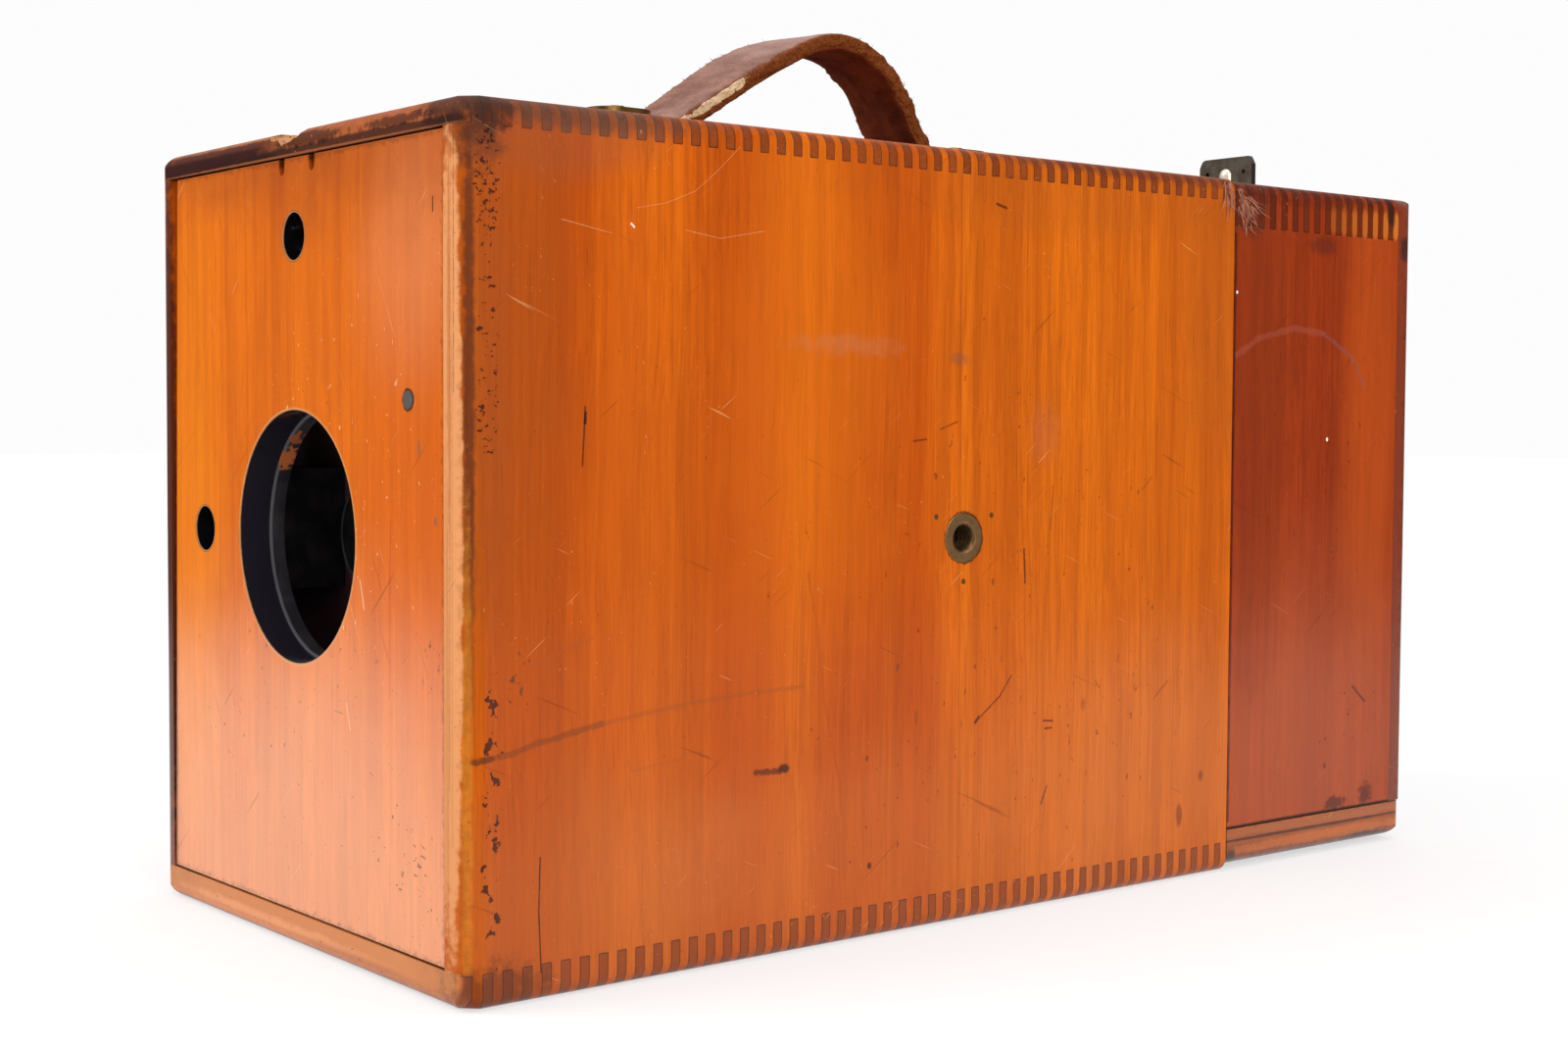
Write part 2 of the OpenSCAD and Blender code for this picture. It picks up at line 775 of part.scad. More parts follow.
// The two pillars that carry the bridge over the shutter arbor
function bridge_places() = [
    for (side = [-1, 1]) [
        side * pillar_reach * cos(bridge_angle),
        arbor_z + side * pillar_reach * sin(bridge_angle)
    ]
];

module flange_screw_places() {
    for (angle = [90, 210, 330])
        translate([flange_screw_ring * cos(angle), 0, lens_z + flange_screw_ring * sin(angle)])
            children();
}

module lens_flange() {
    color(aged_brass) difference() {
        bar_y(0, lens_board_y - flange_t, lens_z, barrel_r + flange_w, flange_t);
        bar_y(0, lens_board_y - flange_t - 1, lens_z, barrel_r + seat, flange_t + 2);
        flange_screw_places() bar_y(0, lens_board_y - flange_t - 1, 0, screw_r, flange_t + 2);
    }
}

module lens_screws() {
    color(aged_brass) flange_screw_places() {
        bar_y(0, lens_board_y - flange_t, 0, screw_r - seat, flange_t + lens_screw_grip - 0.2);
        translate([0, lens_board_y - flange_t - 0.8, 0]) rotate([-90, 0, 0])
            cylinder(r1 = 1.5, r2 = 2.1, h = 0.8);
    }
}

module lens_barrel() {
    length = barrel_back - barrel_front;
    color(black_paint) difference() {
        bar_y(0, barrel_front, lens_z, barrel_r, length);
        bar_y(0, barrel_front - 1, lens_z, barrel_bore, length + 2);
        bar_y(0, barrel_front - 1, lens_z, lip_r, lip_depth + 1);
    }
}

// A lens with two round faces, its middle plane at y
module round_lens(y, r) {
    sag = glass_t / 2;
    color(clear_glass) translate([0, y, lens_z]) rotate([90, 0, 0]) rotate_extrude()
        intersection() {
            translate([0, glass_curve_r - sag]) circle(r = glass_curve_r, $fn = 256);
            translate([0, sag - glass_curve_r]) circle(r = glass_curve_r, $fn = 256);
            translate([0, -glass_t]) square([r, 2 * glass_t]);
        }
}

module front_lens() {
    round_lens(front_glass_y + glass_t / 2, barrel_bore - seat);
}

module rear_lens() {
    round_lens(rear_glass_y + glass_t / 2, barrel_bore - seat);
}

// The disc with three stops, turned by a knob in front of the lens board
module stop_disc() {
    color(aged_brass) {
        difference() {
            bar_y(0, stop_y, stop_pivot_z, stop_disc_r, disc_t);
            for (i = [0:2])
                translate([0, 0, stop_pivot_z]) rotate([0, [0, 60, -60][i], 0])
                    bar_y(0, stop_y - 1, stop_reach, stop_radii[i], disc_t + 2);
        }
        bar_y(0, lens_board_y - knob_t, stop_pivot_z, stop_spindle_r, stop_y + disc_t - lens_board_y + knob_t);
    }
}

module stop_knob() {
    color(black_paint) difference() {
        bar_y(0, lens_board_y - knob_t - 0.2, stop_pivot_z, stop_knob_r, knob_t);
        bar_y(0, lens_board_y - knob_t - 1, stop_pivot_z, stop_spindle_r + seat, knob_t + 2);
    }
}

// The stud that the shutter disc turns on, between the lens board and the bridge
module shutter_arbor() {
    color(bright_steel)
        bar_y(0, lens_board_back - arbor_seat, arbor_z, arbor_r,
            bridge_y + bridge_t - lens_board_back + arbor_seat);
}

// A round disc that covers the lens, with its exposure hole to the right, a
// notch for the trip lever's tooth and a hub that the cord pulls round
module shutter_disc() {
    hole_angle = 100;
    notch_angle = 90 - asin((arbor_z - trip_tooth_z) / shutter_r);
    color(aged_brass) difference() {
        union() {
            bar_y(0, shutter_y, arbor_z, shutter_r, disc_t);
            bar_y(0, shutter_y, arbor_z, hub_r, hub_len);
        }
        bar_y(0, shutter_y - 1, arbor_z, arbor_r + running, hub_len + 2);
        translate([0, 0, arbor_z]) rotate([0, -hole_angle, 0])
            bar_y(0, shutter_y - 1, -shutter_reach, exposure_hole_r, disc_t + 2);
        translate([0, shutter_y - 1, arbor_z]) rotate([0, notch_angle, 0])
            translate([-trip_notch_w / 2, 0, -shutter_r - 1]) cube([trip_notch_w, disc_t + 2, 3.5]);
    }
}

// A flat strip wound in a spiral around the hub
module shutter_spring() {
    start = hub_r + spring_gap;
    steps = spring_turns * 20;
    inner = [
        for (i = [0:steps]) let (angle = i * 18, r = start + spring_growth * angle / 360)
            [r * cos(angle), r * sin(angle)]
    ];
    outer = [
        for (i = [0:steps]) let (angle = i * 18, r = start + spring_growth * angle / 360)
            [(r + spring_strip) * cos(angle), (r + spring_strip) * sin(angle)]
    ];
    color(dark_steel) translate([0, spring_y + spring_h, arbor_z]) rotate([90, 0, 0])
        linear_extrude(spring_h) polygon(concat(inner, backwards(outer)));
}

// The bar that steadies the arbor's rear end, on its two pillars
module shutter_bridge() {
    color(aged_brass) {
        difference() {
            translate([0, bridge_y, arbor_z]) rotate([0, -bridge_angle, 0])
                translate([-pillar_reach - bridge_half, 0, -bridge_half])
                    cube([2 * (pillar_reach + bridge_half), bridge_t, 2 * bridge_half]);
            bar_y(0, bridge_y - 1, arbor_z, arbor_r + seat, bridge_t + 2);
        }
        for (place = bridge_places())
            bar_y(place.x, lens_board_back - arbor_seat, place.y, pillar_r,
                bridge_y - lens_board_back + arbor_seat);
    }
}

// The lever between the release button and the rim of the shutter disc
module trip_lever() {
    lever_y = shutter_y + disc_t / 2 - trip_t / 2;
    tooth_x = -sqrt(pow(shutter_r, 2) - pow(arbor_z - trip_tooth_z, 2)) - clear - 0.2;
    color(dark_steel) along_y(lever_y, trip_t) difference() {
        union() {
            translate([trip_x, trip_z]) circle(r = trip_hub_r);
            translate([trip_x - trip_half, trip_z]) square([2 * trip_half, trip_arm + trip_head]);
            translate([trip_pad_x, button_z - trip_pad_h / 2])
                square([trip_x - trip_pad_x + trip_half, trip_pad_h]);
            translate([trip_x - trip_half, trip_tooth_z - trip_tooth_h / 2])
                square([2 * trip_half, trip_z - trip_tooth_z + trip_tooth_h / 2]);
            translate([trip_x, trip_tooth_z - trip_tooth_h / 2])
                square([tooth_x - trip_x, trip_tooth_h]);
        }
        translate([trip_x, trip_z]) circle(r = trip_pivot_r + running);
    }
}

// The stud that the trip lever turns on, with its wound return spring
module trip_pivot() {
    lever_y = shutter_y + disc_t / 2 - trip_t / 2;
    color(bright_steel) {
        bar_y(trip_x, lens_board_back - arbor_seat, trip_z, trip_pivot_r,
            lever_y + trip_t + 1 - lens_board_back + arbor_seat);
        bar_y(trip_x, lens_board_back, trip_z, trip_hub_r - 0.4, lever_y - lens_board_back - 0.3);
    }
}

// The release button, which slides through its bush and pushes the trip lever
module release_button() {
    inner_end = trip_pad_x - clear;
    color(aged_brass) {
        intersection() {
            bar_x(-half_w - bush_proud - button_proud, button_y, button_z, button_r,
                inner_end + half_w + bush_proud + button_proud);
            translate([-half_w - bush_proud - button_proud + 2 * button_r, button_y, button_z])
                sphere(r = 2 * button_r + 40);
        }
        bar_x(-inner_x + clear, button_y, button_z, button_collar_r, collar_height);
    }
}

module button_bush() {
    color(aged_brass) difference() {
        union() {
            bar_x(-half_w, button_y, button_z, button_bush_r - seat, side_t);
            translate([-half_w - bush_proud, button_y, button_z]) rotate([0, 90, 0])
                cylinder(r1 = button_bush_r + 1, r2 = button_bush_r + 1.8, h = bush_proud);
        }
        bar_x(-half_w - bush_proud - 1, button_y, button_z, button_r + running, side_t + bush_proud + 2);
    }
}

// One reflecting finder under a board that lies at z = 0, its axis at the depth
// reach below: a housing, a lens in its front, a mirror at 45 degrees and a window
finder_lens_r = finder_hole_r + 0.6;
module finder_housing(reach) {
    height = reach + window_d / 2 + finder_wall + finder_foot;
    color(black_paint) difference() {
        translate([-finder_w / 2, finder_front_y, -height]) cube([finder_w, finder_d, height]);
        translate([-window_w / 2, finder_front_y + finder_wall, finder_wall - height])
            cube([window_w, window_d, height]);
        bar_y(0, finder_front_y - 1, -reach, finder_lens_r + seat, finder_wall + 2);
    }
}

module finder_lens(reach) {
    color(clear_glass) bar_y(0, finder_front_y + 0.1, -reach, finder_lens_r, finder_wall - 0.2);
}

// The mirror leans back from the foot of the housing's front wall
module finder_mirror(reach) {
    length = window_d * sqrt(2) - 2 * finder_glass_t - clear;
    color(lead_grey)
        translate([-window_w / 2 + 0.1, finder_front_y + finder_wall + window_d / 2, -reach])
            rotate([45, 0, 0]) translate([0, -length / 2, -finder_glass_t])
                cube([window_w - 0.2, length, finder_glass_t]);
}

module finder_window(board_t) {
    color(clear_glass)
        translate([0.1 - window_w / 2, finder_front_y + finder_wall + 0.1, board_t - finder_glass_t - 0.8])
            cube([window_w - 0.2, window_d - 0.2, finder_glass_t]);
}

module on_top() {
    translate([0, 0, inner_top]) children();
}

module on_left() {
    translate([-inner_x, 0, lens_z]) rotate([0, -90, 0]) children();
}

module top_finder_housing() {
    on_top() finder_housing(top_reach);
}

module top_finder_lens() {
    on_top() finder_lens(top_reach);
}

module top_finder_mirror() {
    on_top() finder_mirror(top_reach);
}

module top_finder_window() {
    on_top() finder_window(top_t);
}

module side_finder_housing() {
    on_left() finder_housing(side_reach);
}

module side_finder_lens() {
    on_left() finder_lens(side_reach);
}

module side_finder_mirror() {
    on_left() finder_mirror(side_reach);
}

module side_finder_window() {
    on_left() finder_window(side_t);
}

// The board that frames the picture at the casing's rear
module film_gate() {
    color(black_paint) difference() {
        translate([-inner_x, seam_y - gate_t, ledge_top])
            cube([2 * inner_x, gate_t, inner_top - ledge_top]);
        translate([-picture_w / 2, seam_y - gate_t - 1, picture_z - picture_h / 2])
            cube([picture_w, gate_t + 2, picture_h]);
    }
}

// The board that ties the rear base to the casing and carries the roll holder
module ledge_board() {
    color(cover_wood) {
        translate([-inner_x, seam_y - ledge_reach, bottom_t])
            cube([2 * inner_x, ledge_reach + 1, ledge_t]);
        intersection() {
            translate([-half_w, cover_front_y, bottom_t]) cube([casing_w, cover_len, ledge_t]);
            base_form();
        }
    }
}

module rear_base() {
    color(cover_wood) intersection() {
        translate([-half_w, cover_front_y, bottom_t - base_t]) cube([casing_w, cover_len, base_t]);
        base_form();
    }
}

module cover_side(x) {
    color(cover_wood) intersection() {
        along_x(x, cover_side_t)
            side_outline(cover_front_y, cover_inner_y - cover_front_y,
                cover_foot, cover_foot, cover_ceiling, cover_top_z);
        cover_form();
    }
}

module cover_side_right() {
    cover_side(cover_inner_x);
}

module cover_side_left() {
    cover_side(-half_w);
}

module cover_top() {
    color(cover_wood) difference() {
        intersection() {
            along_z(cover_ceiling, cover_top_t)
                deck_outline(cover_front_y, cover_inner_y - cover_front_y, cover_inner_x, half_w);
            cover_form();
        }
        translate([spool_x, spool_y, cover_ceiling - 1]) cylinder(r = key_bush_r, h = cover_top_t + 2);
    }
}

module cover_rear() {
    color(cover_wood) intersection() {
        translate([-half_w, cover_inner_y, cover_foot])
            cube([casing_w, cover_rear_t, cover_top_z - cover_foot]);
        cover_form();
    }
}

// The bush that the winding key turns in
module key_bush() {
    color(aged_brass) translate([spool_x, spool_y, 0]) difference() {
        union() {
            translate([0, 0, cover_ceiling]) cylinder(r = key_bush_r - seat, h = cover_top_t);
            translate([0, 0, cover_top_z]) cylinder(r = key_bush_flange_r, h = key_bush_flange_t);
        }
        translate([0, 0, cover_ceiling - 1])
            cylinder(r = key_shaft_r + running, h = cover_top_t + key_bush_flange_t + 2);
    }
}

// The key's shaft: a tang for the spool's slot, a collar and a split round head
module key_shaft() {
    color(bright_steel) translate([spool_x, spool_y, 0]) difference() {
        union() {
            translate([-tang_w / 2, -tang_t / 2, key_shaft_foot - tang_len])
                cube([tang_w, tang_t, tang_len + 0.1]);
            translate([0, 0, key_shaft_foot]) cylinder(r = key_shaft_r, h = thumb_z - key_shaft_foot);
            translate([0, 0, key_collar_z]) cylinder(r = key_collar_r, h = thumb_z - key_collar_z);
            translate([0, 0, thumb_z]) cylinder(r = key_head_r, h = key_head_h - key_head_r);
            translate([0, 0, thumb_z + key_head_h - key_head_r]) sphere(r = key_head_r);
        }
        translate([-key_collar_r - 1, -thumb_t / 2, thumb_z])
            cube([2 * key_collar_r + 2, thumb_t, key_head_h + 1]);
    }
}

// The flat plate that finger and thumb turn, with bowed sides
module key_thumb_plate() {
    hole_x = thumb_w / 2 - 2.6;
    color(dark_steel) translate([spool_x, 0, thumb_z]) along_y(spool_y - thumb_t / 2, thumb_t)
        difference() {
            intersection() {
                soft_rectangle([-thumb_w / 2, 0], [thumb_w / 2, thumb_h], [1, 1, 1.4, 2.2]);
                translate([0, thumb_h * 0.35]) circle(r = thumb_w * 0.54);
            }
            for (x = [-hole_x, hole_x]) translate([x, thumb_h * 0.55]) circle(r = 0.6);
        }
}

// The roll holder's lower plate, with blind seats for spools and rollers
module holder_lower_plate() {
    color(bare_wood) difference() {
        translate([-plate_half, plate_front_y, ledge_top])
            cube([2 * plate_half, plate_rear_y - plate_front_y, lower_plate_t]);
        for (side = [-1, 1]) {
            translate([side * spool_x, spool_y, lower_plate_top - journal_depth])
                cylinder(r = journal_r + running, h = journal_depth + 1);
            translate([side * roller_x, roller_y, lower_plate_top - journal_depth])
                cylinder(r = roller_pin_r + running, h = journal_depth + 1);
        }
    }
}

module holder_upper_plate() {
    color(aged_brass) difference() {
        translate([-plate_half, plate_front_y, upper_plate_z])
            cube([2 * plate_half, plate_rear_y - plate_front_y, upper_plate_t]);
        translate([-spool_x, spool_y, upper_plate_z - 1])
            cylinder(r = journal_r + running, h = upper_plate_t + 2);
        translate([spool_x, spool_y, upper_plate_z - 1])
            cylinder(r = head_r + running, h = upper_plate_t + 2);
        for (side = [-1, 1])
            translate([side * roller_x, roller_y, upper_plate_z - 1])
                cylinder(r = roller_pin_r + running, h = upper_plate_t + 2);
    }
}

// Three rear pillars between the plates, and the stud of the ratchet pawl
module holder_pillars() {
    color(aged_brass) {
        for (side = [-1, 0, 1])
            translate([side * (plate_half - pillar_inset), plate_rear_y - pillar_inset, lower_plate_top])
                cylinder(r = pillar_r, h = upper_plate_z - lower_plate_top);
        translate([spool_x + pawl_reach * cos(pawl_angle), spool_y + pawl_reach * sin(pawl_angle),
            upper_plate_top])
            cylinder(r = pawl_pin_r, h = cover_ceiling - upper_plate_top - 0.8);
    }
}

module film_platen() {
    color(black_paint)
        translate([-roller_x + roller_r + 1, film_front_y + film_t + clear, lower_plate_top])
            cube([2 * (roller_x - roller_r - 1), platen_t, upper_plate_z - lower_plate_top]);
}

// The film's way, seen from above: from the full roll round the left roller,
// across the picture and round the right roller to the started roll. The
// angle at which it leaves a roll and meets a roller is that of their common
// tangent on the outer side.
wrap_r = roller_r + clear + film_t / 2;
function tangent_angle(roll_r) = let (
    dx = spool_x - roller_x,
    dy = spool_y - roller_y,
    apart = norm([dx, dy])
) atan2(-dx, dy) - asin((roll_r + clear + film_t / 2 - wrap_r) / apart);
function film_line() = let (
    left = tangent_angle(full_roll_r),
    right = tangent_angle(started_roll_r),
    left_out = full_roll_r + clear + film_t / 2,
    right_out = started_roll_r + clear + film_t / 2
) concat(
    [[-spool_x - left_out * cos(left), spool_y + left_out * sin(left)]],
    [for (i = [0:8]) let (a = left + (-90 - left) * i / 8)
        [-roller_x - wrap_r * cos(a), roller_y + wrap_r * sin(a)]],
    [for (i = [0:8]) let (a = -90 + (right + 90) * i / 8)
        [roller_x + wrap_r * cos(a), roller_y + wrap_r * sin(a)]],
    [[spool_x + right_out * cos(right), spool_y + right_out * sin(right)]]
);

module film_web() {
    line = film_line();
    film_low = lower_plate_top + clear + spool_flange_t + film_edge;
    film_high = upper_plate_z - clear - spool_flange_t - film_edge;
    color(film_grey) along_z(film_low, film_high - film_low)
        polygon(concat(beside(line, film_t / 2), backwards(beside(line, -film_t / 2))));
}

module guide_roller(x) {
    color(bare_wood) translate([x, roller_y, 0]) {
        translate([0, 0, lower_plate_top + clear])
            cylinder(r = roller_r, h = upper_plate_z - lower_plate_top - 2 * clear);
        translate([0, 0, lower_plate_top - journal_depth + clear])
            cylinder(r = roller_pin_r, h = upper_plate_top - lower_plate_top + journal_depth);
    }
}

module guide_roller_left() {
    guide_roller(-roller_x);
}

module guide_roller_right() {
    guide_roller(roller_x);
}

// A wooden spool with its wound film, standing on its lower journal
module spool(film_r) {
    flange_low = lower_plate_top + clear;
    flange_high = upper_plate_z - clear;
    translate([0, 0, flange_low - journal_depth + clear]) cylinder(r = journal_r, h = journal_depth + 1);
    translate([0, 0, flange_low]) cylinder(r = core_r, h = flange_high - flange_low);
    for (z = [flange_low, flange_high - spool_flange_t])
        translate([0, 0, z]) cylinder(r = spool_flange_r, h = spool_flange_t);
    translate([0, 0, flange_low + spool_flange_t])
        cylinder(r = film_r, h = flange_high - flange_low - 2 * spool_flange_t);
}

module supply_spool() {
    color(bare_wood) translate([-spool_x, spool_y, 0]) {
        spool(full_roll_r);
        translate([0, 0, upper_plate_z - clear - 1])
            cylinder(r = journal_r, h = upper_plate_t + clear + 1.5);
    }
}

// The spool that the key winds, with a ratchet wheel and a slotted head
module take_up_spool() {
    slot_foot = key_shaft_foot - tang_len - 0.4;
    color(bare_wood) translate([spool_x, spool_y, 0]) difference() {
        union() {
            spool(started_roll_r);
            translate([0, 0, upper_plate_z - clear - 1])
                cylinder(r = head_r, h = spool_head_z - upper_plate_z + clear + 1);
            along_z(ratchet_z, ratchet_t) polygon(ratchet_outline());
        }
        translate([-head_r - 1, -tang_t / 2 - tang_clear, slot_foot])
            cube([2 * head_r + 2, tang_t + 2 * tang_clear, spool_head_z - slot_foot + 1]);
    }
}

// Saw teeth whose steep sides face a turn back
function ratchet_outline() = [
    for (k = [0:ratchet_teeth - 1], corner = [0, 1]) let (
        angle = k * 360 / ratchet_teeth - (corner == 0 ? 1 : 0),
        r = corner == 0 ? ratchet_root : ratchet_r
    ) [r * cos(angle), r * sin(angle)]
];

// The pawl that stops the spool from turning back, lifted just over the teeth
function polar(r, angle) = [r * cos(angle), r * sin(angle)];
module ratchet_pawl() {
    pivot = polar(pawl_reach, pawl_angle);
    shank = [2.2, 1.8];
    color(dark_steel) translate([spool_x, spool_y, 0]) along_z(ratchet_z, ratchet_t) difference() {
        union() {
            polygon([
                polar(ratchet_r + 1.2, -20), pivot + [-shank.x, shank.y], pivot + shank,
                polar(ratchet_r + 3.2, -4), polar(ratchet_r + 1.4, -2.4),
                polar(ratchet_r + clear, -3.3)
            ]);
            translate(pivot) circle(r = pawl_hub_r);
        }
        translate(pivot) circle(r = pawl_pin_r + running);
    }
}

side_board_right();
side_board_left();
top_board();
bottom_board();
corner_blocks();
tripod_bush_side();
tripod_bush_base();
bush_pins();
handle_strap();
handle_plate_front();
handle_plate_rear();
handle_screws();
shutter_cord_eyelet();
front_panel();
panel_collar();
panel_plug();
lens_board();
lens_flange();
lens_screws();
lens_barrel();
front_lens();
rear_lens();
stop_disc();
stop_knob();
shutter_arbor();
shutter_disc();
shutter_spring();
shutter_bridge();
trip_lever();
trip_pivot();
release_button();
button_bush();
top_finder_housing();
top_finder_lens();
top_finder_mirror();
top_finder_window();
side_finder_housing();
side_finder_lens();
side_finder_mirror();
side_finder_window();
film_gate();
ledge_board();
rear_base();
cover_side_right();
cover_side_left();
cover_top();
cover_rear();
key_bush();
key_shaft();
key_thumb_plate();
holder_lower_plate();
holder_upper_plate();
holder_pillars();
film_platen();
film_web();
guide_roller_left();
guide_roller_right();
supply_spool();
take_up_spool();
ratchet_pawl();
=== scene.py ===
"""Looks of a varnished wooden roll film camera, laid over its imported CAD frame.

Meshes are in metres. The patterns inside the materials work in millimetres, so
that a grain or a scratch has the size that a rule would measure on the object.
"""

import logging
import math
from dataclasses import dataclass, field
from enum import Enum
from functools import lru_cache
from typing import Optional, Sequence, Union

import bmesh
import bpy
import numpy as np
from mathutils import Matrix, Vector


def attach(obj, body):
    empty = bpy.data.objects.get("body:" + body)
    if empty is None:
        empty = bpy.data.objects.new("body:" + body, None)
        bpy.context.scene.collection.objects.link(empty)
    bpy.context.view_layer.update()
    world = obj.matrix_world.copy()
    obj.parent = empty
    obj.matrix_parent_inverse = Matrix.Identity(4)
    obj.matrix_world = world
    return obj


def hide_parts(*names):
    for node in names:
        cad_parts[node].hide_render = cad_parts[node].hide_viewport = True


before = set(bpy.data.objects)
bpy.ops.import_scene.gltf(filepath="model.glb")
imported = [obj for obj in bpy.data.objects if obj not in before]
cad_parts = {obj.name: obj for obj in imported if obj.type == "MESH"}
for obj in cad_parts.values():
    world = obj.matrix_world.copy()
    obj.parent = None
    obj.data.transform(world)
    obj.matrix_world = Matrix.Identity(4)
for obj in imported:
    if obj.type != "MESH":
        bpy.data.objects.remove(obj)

log = logging.getLogger("camera")
Array = np.ndarray
Node = bpy.types.Node
Tree = bpy.types.NodeTree
Socket = bpy.types.NodeSocket
Material = bpy.types.Material
Value = Union[float, tuple, Socket]
Point = tuple[float, float, float]


# Colours and node graphs


def tone(code: str) -> tuple[float, float, float, float]:
    """Linear colour of a six-digit display colour code.

    Args:
        code: Six hexadecimal digits, as a colour picker shows them.

    Returns:
        Red, green, blue and an alpha of 1, as shaders use them.
    """
    parts = [int(code[i : i + 2], 16) / 255 for i in (0, 2, 4)]
    linear = [p / 12.92 if p <= 0.04045 else ((p + 0.055) / 1.055) ** 2.4 for p in parts]
    return (*linear, 1.0)


class Graph:
    """Adds nodes to one node tree and links them."""

    def __init__(self, tree: Tree) -> None:
        """Keeps the tree that the nodes go to."""
        self.tree = tree
        self.swings: dict[float, Socket] = {}

    def node(self, kind: str, **settings: object) -> Node:
        """Adds one node.

        Args:
            kind: Blender's name of the node type.
            **settings: Properties of the node to set.

        Returns:
            The new node.
        """
        made = self.tree.nodes.new(kind)
        for name, value in settings.items():
            setattr(made, name, value)
        return made

    def feed(self, socket: Socket, value: Optional[Value]) -> None:
        """Links a socket to another, or gives it a constant.

        Args:
            socket: The input to fill.
            value: An output socket, a number, a tuple, or None to leave it.
        """
        if isinstance(value, Socket):
            self.tree.links.new(value, socket)
        elif value is not None:
            socket.default_value = value

    def calc(self, operation: str, *values: Value, clamp: bool = False) -> Socket:
        """One step of arithmetic on numbers.

        Args:
            operation: Name of the Math node's operation.
            *values: Its inputs in order.
            clamp: Whether the result stays from 0 to 1.

        Returns:
            The result's socket.
        """
        made = self.node("ShaderNodeMath", operation=operation)
        for socket, value in zip(made.inputs, values):
            self.feed(socket, value)
        if clamp:
            return self.calc("MAXIMUM", self.calc("MINIMUM", made.outputs[0], 1.0), 0.0)
        return made.outputs[0]

    def times(self, value: Value, factor: Value) -> Socket:
        """The product of two numbers."""
        return self.calc("MULTIPLY", value, factor)

    def rise(self, value: Value, factor: Value, start: Value) -> Socket:
        """A value times a factor, added to a start."""
        return self.calc("MULTIPLY_ADD", value, factor, start)

    def vec(self, operation: str, *values: Value, scale: Optional[Value] = None) -> Socket:
        """One step of arithmetic on vectors.

        Args:
            operation: Name of the Vector Math node's operation.
            *values: Its vector inputs in order.
            scale: The number that SCALE multiplies by.

        Returns:
            The vector's socket, or the number's for a length or product.
        """
        made = self.node("ShaderNodeVectorMath", operation=operation)
        for socket, value in zip(made.inputs, values):
            self.feed(socket, value)
        if scale is not None:
            self.feed(made.inputs["Scale"], scale)
        number = operation in ("DOT_PRODUCT", "LENGTH", "DISTANCE")
        return made.outputs["Value" if number else "Vector"]

    def blend(self, factor: Value, low: Value, high: Value) -> Socket:
        """Mixes two colours.

        Args:
            factor: 0 for the first colour, 1 for the second.
            low: The first colour.
            high: The second colour.

        Returns:
            The mixed colour's socket.
        """
        made = self.node("ShaderNodeMix", data_type="RGBA")
        self.feed(made.inputs[0], factor)
        self.feed(made.inputs[6], low)
        self.feed(made.inputs[7], high)
        return made.outputs[2]

    def lay(self, colour: Value, code: str, mask: Value, strength: Value = 1.0) -> Socket:
        """Lays a new colour over another where a mask is high.

        Args:
            colour: The colour so far.
            code: The new colour's code.
            mask: 1 where it shows.
            strength: Its share there.

        Returns:
            The mixed colour's socket.
        """
        return self.blend(self.times(mask, strength), colour, tone(code))

    def noise(self, vector: Value, scale: Value, detail: float = 2.0, rough: float = 0.5) -> Socket:
        """Soft random values from 0 to 1 over a position.

        Args:
            vector: The position.
            scale: Cells for each unit of length.
            detail: Number of finer layers.
            rough: Share that each finer layer adds.

        Returns:
            The value's socket.
        """
        made = self.node("ShaderNodeTexNoise")
        self.feed(made.inputs["Vector"], vector)
        self.feed(made.inputs["Scale"], scale)
        made.inputs["Detail"].default_value = detail
        made.inputs["Roughness"].default_value = rough
        return made.outputs[0]

    def swing(self, place: Value, size: float) -> Socket:
        """Noise from -1 to 1 that tears the outlines of marks, made once for each size.

        Args:
            place: The position.
            size: Cells for each millimetre.

        Returns:
            The value's socket.
        """
        if size not in self.swings:
            self.swings[size] = self.rise(self.noise(place, size, 4.0, 0.65), 2.0, -1.0)
        return self.swings[size]

    def step(self, value: Value, low: Value, high: Value) -> Socket:
        """A smooth rise from 0 at one value to 1 at another.

        Args:
            value: The number to judge.
            low: Where the rise starts.
            high: Where it ends, which may lie lower.

        Returns:
            The risen value's socket.
        """
        made = self.node("ShaderNodeMapRange", interpolation_type="SMOOTHSTEP", clamp=False)
        self.feed(made.inputs["Value"], value)
        self.feed(made.inputs["From Min"], low)
        self.feed(made.inputs["From Max"], high)
        return made.outputs["Result"]

    def use(self, group: Tree, **values: Value) -> Node:
        """Places a node group and fills its inputs.

        Args:
            group: The group's tree.
            **values: Inputs by name, with _ for a space.

        Returns:
            The group's node.
        """
        made = self.node("ShaderNodeGroup", node_tree=group)
        for name, value in values.items():
            self.feed(made.inputs[name.replace("_", " ").title()], value)
        return made

    def finish(
        self, shader: Node, colour: Value, rough: Value, height: Value, strength: float, depth: float
    ) -> None:
        """Feeds a shader's colour, roughness and bumped normal.

        Args:
            shader: The Principled shader's node.
            colour: Its base colour.
            rough: Its roughness.
            height: Height of the surface for the bump.
            strength: Strength of the bump.
            depth: Metres that a height of 1 stands for.
        """
        bump = self.node("ShaderNodeBump")
        bump.inputs["Strength"].default_value = strength
        bump.inputs["Distance"].default_value = depth
        self.feed(bump.inputs["Height"], height)
        self.feed(shader.inputs["Base Color"], colour)
        self.feed(shader.inputs["Roughness"], rough)
        self.feed(shader.inputs["Normal"], bump.outputs["Normal"])

    def position(self) -> Socket:
        """The surface point in millimetres, in the object's own frame."""
        place = self.node("ShaderNodeTexCoord").outputs["Object"]
        return self.vec("SCALE", place, scale=1000.0)

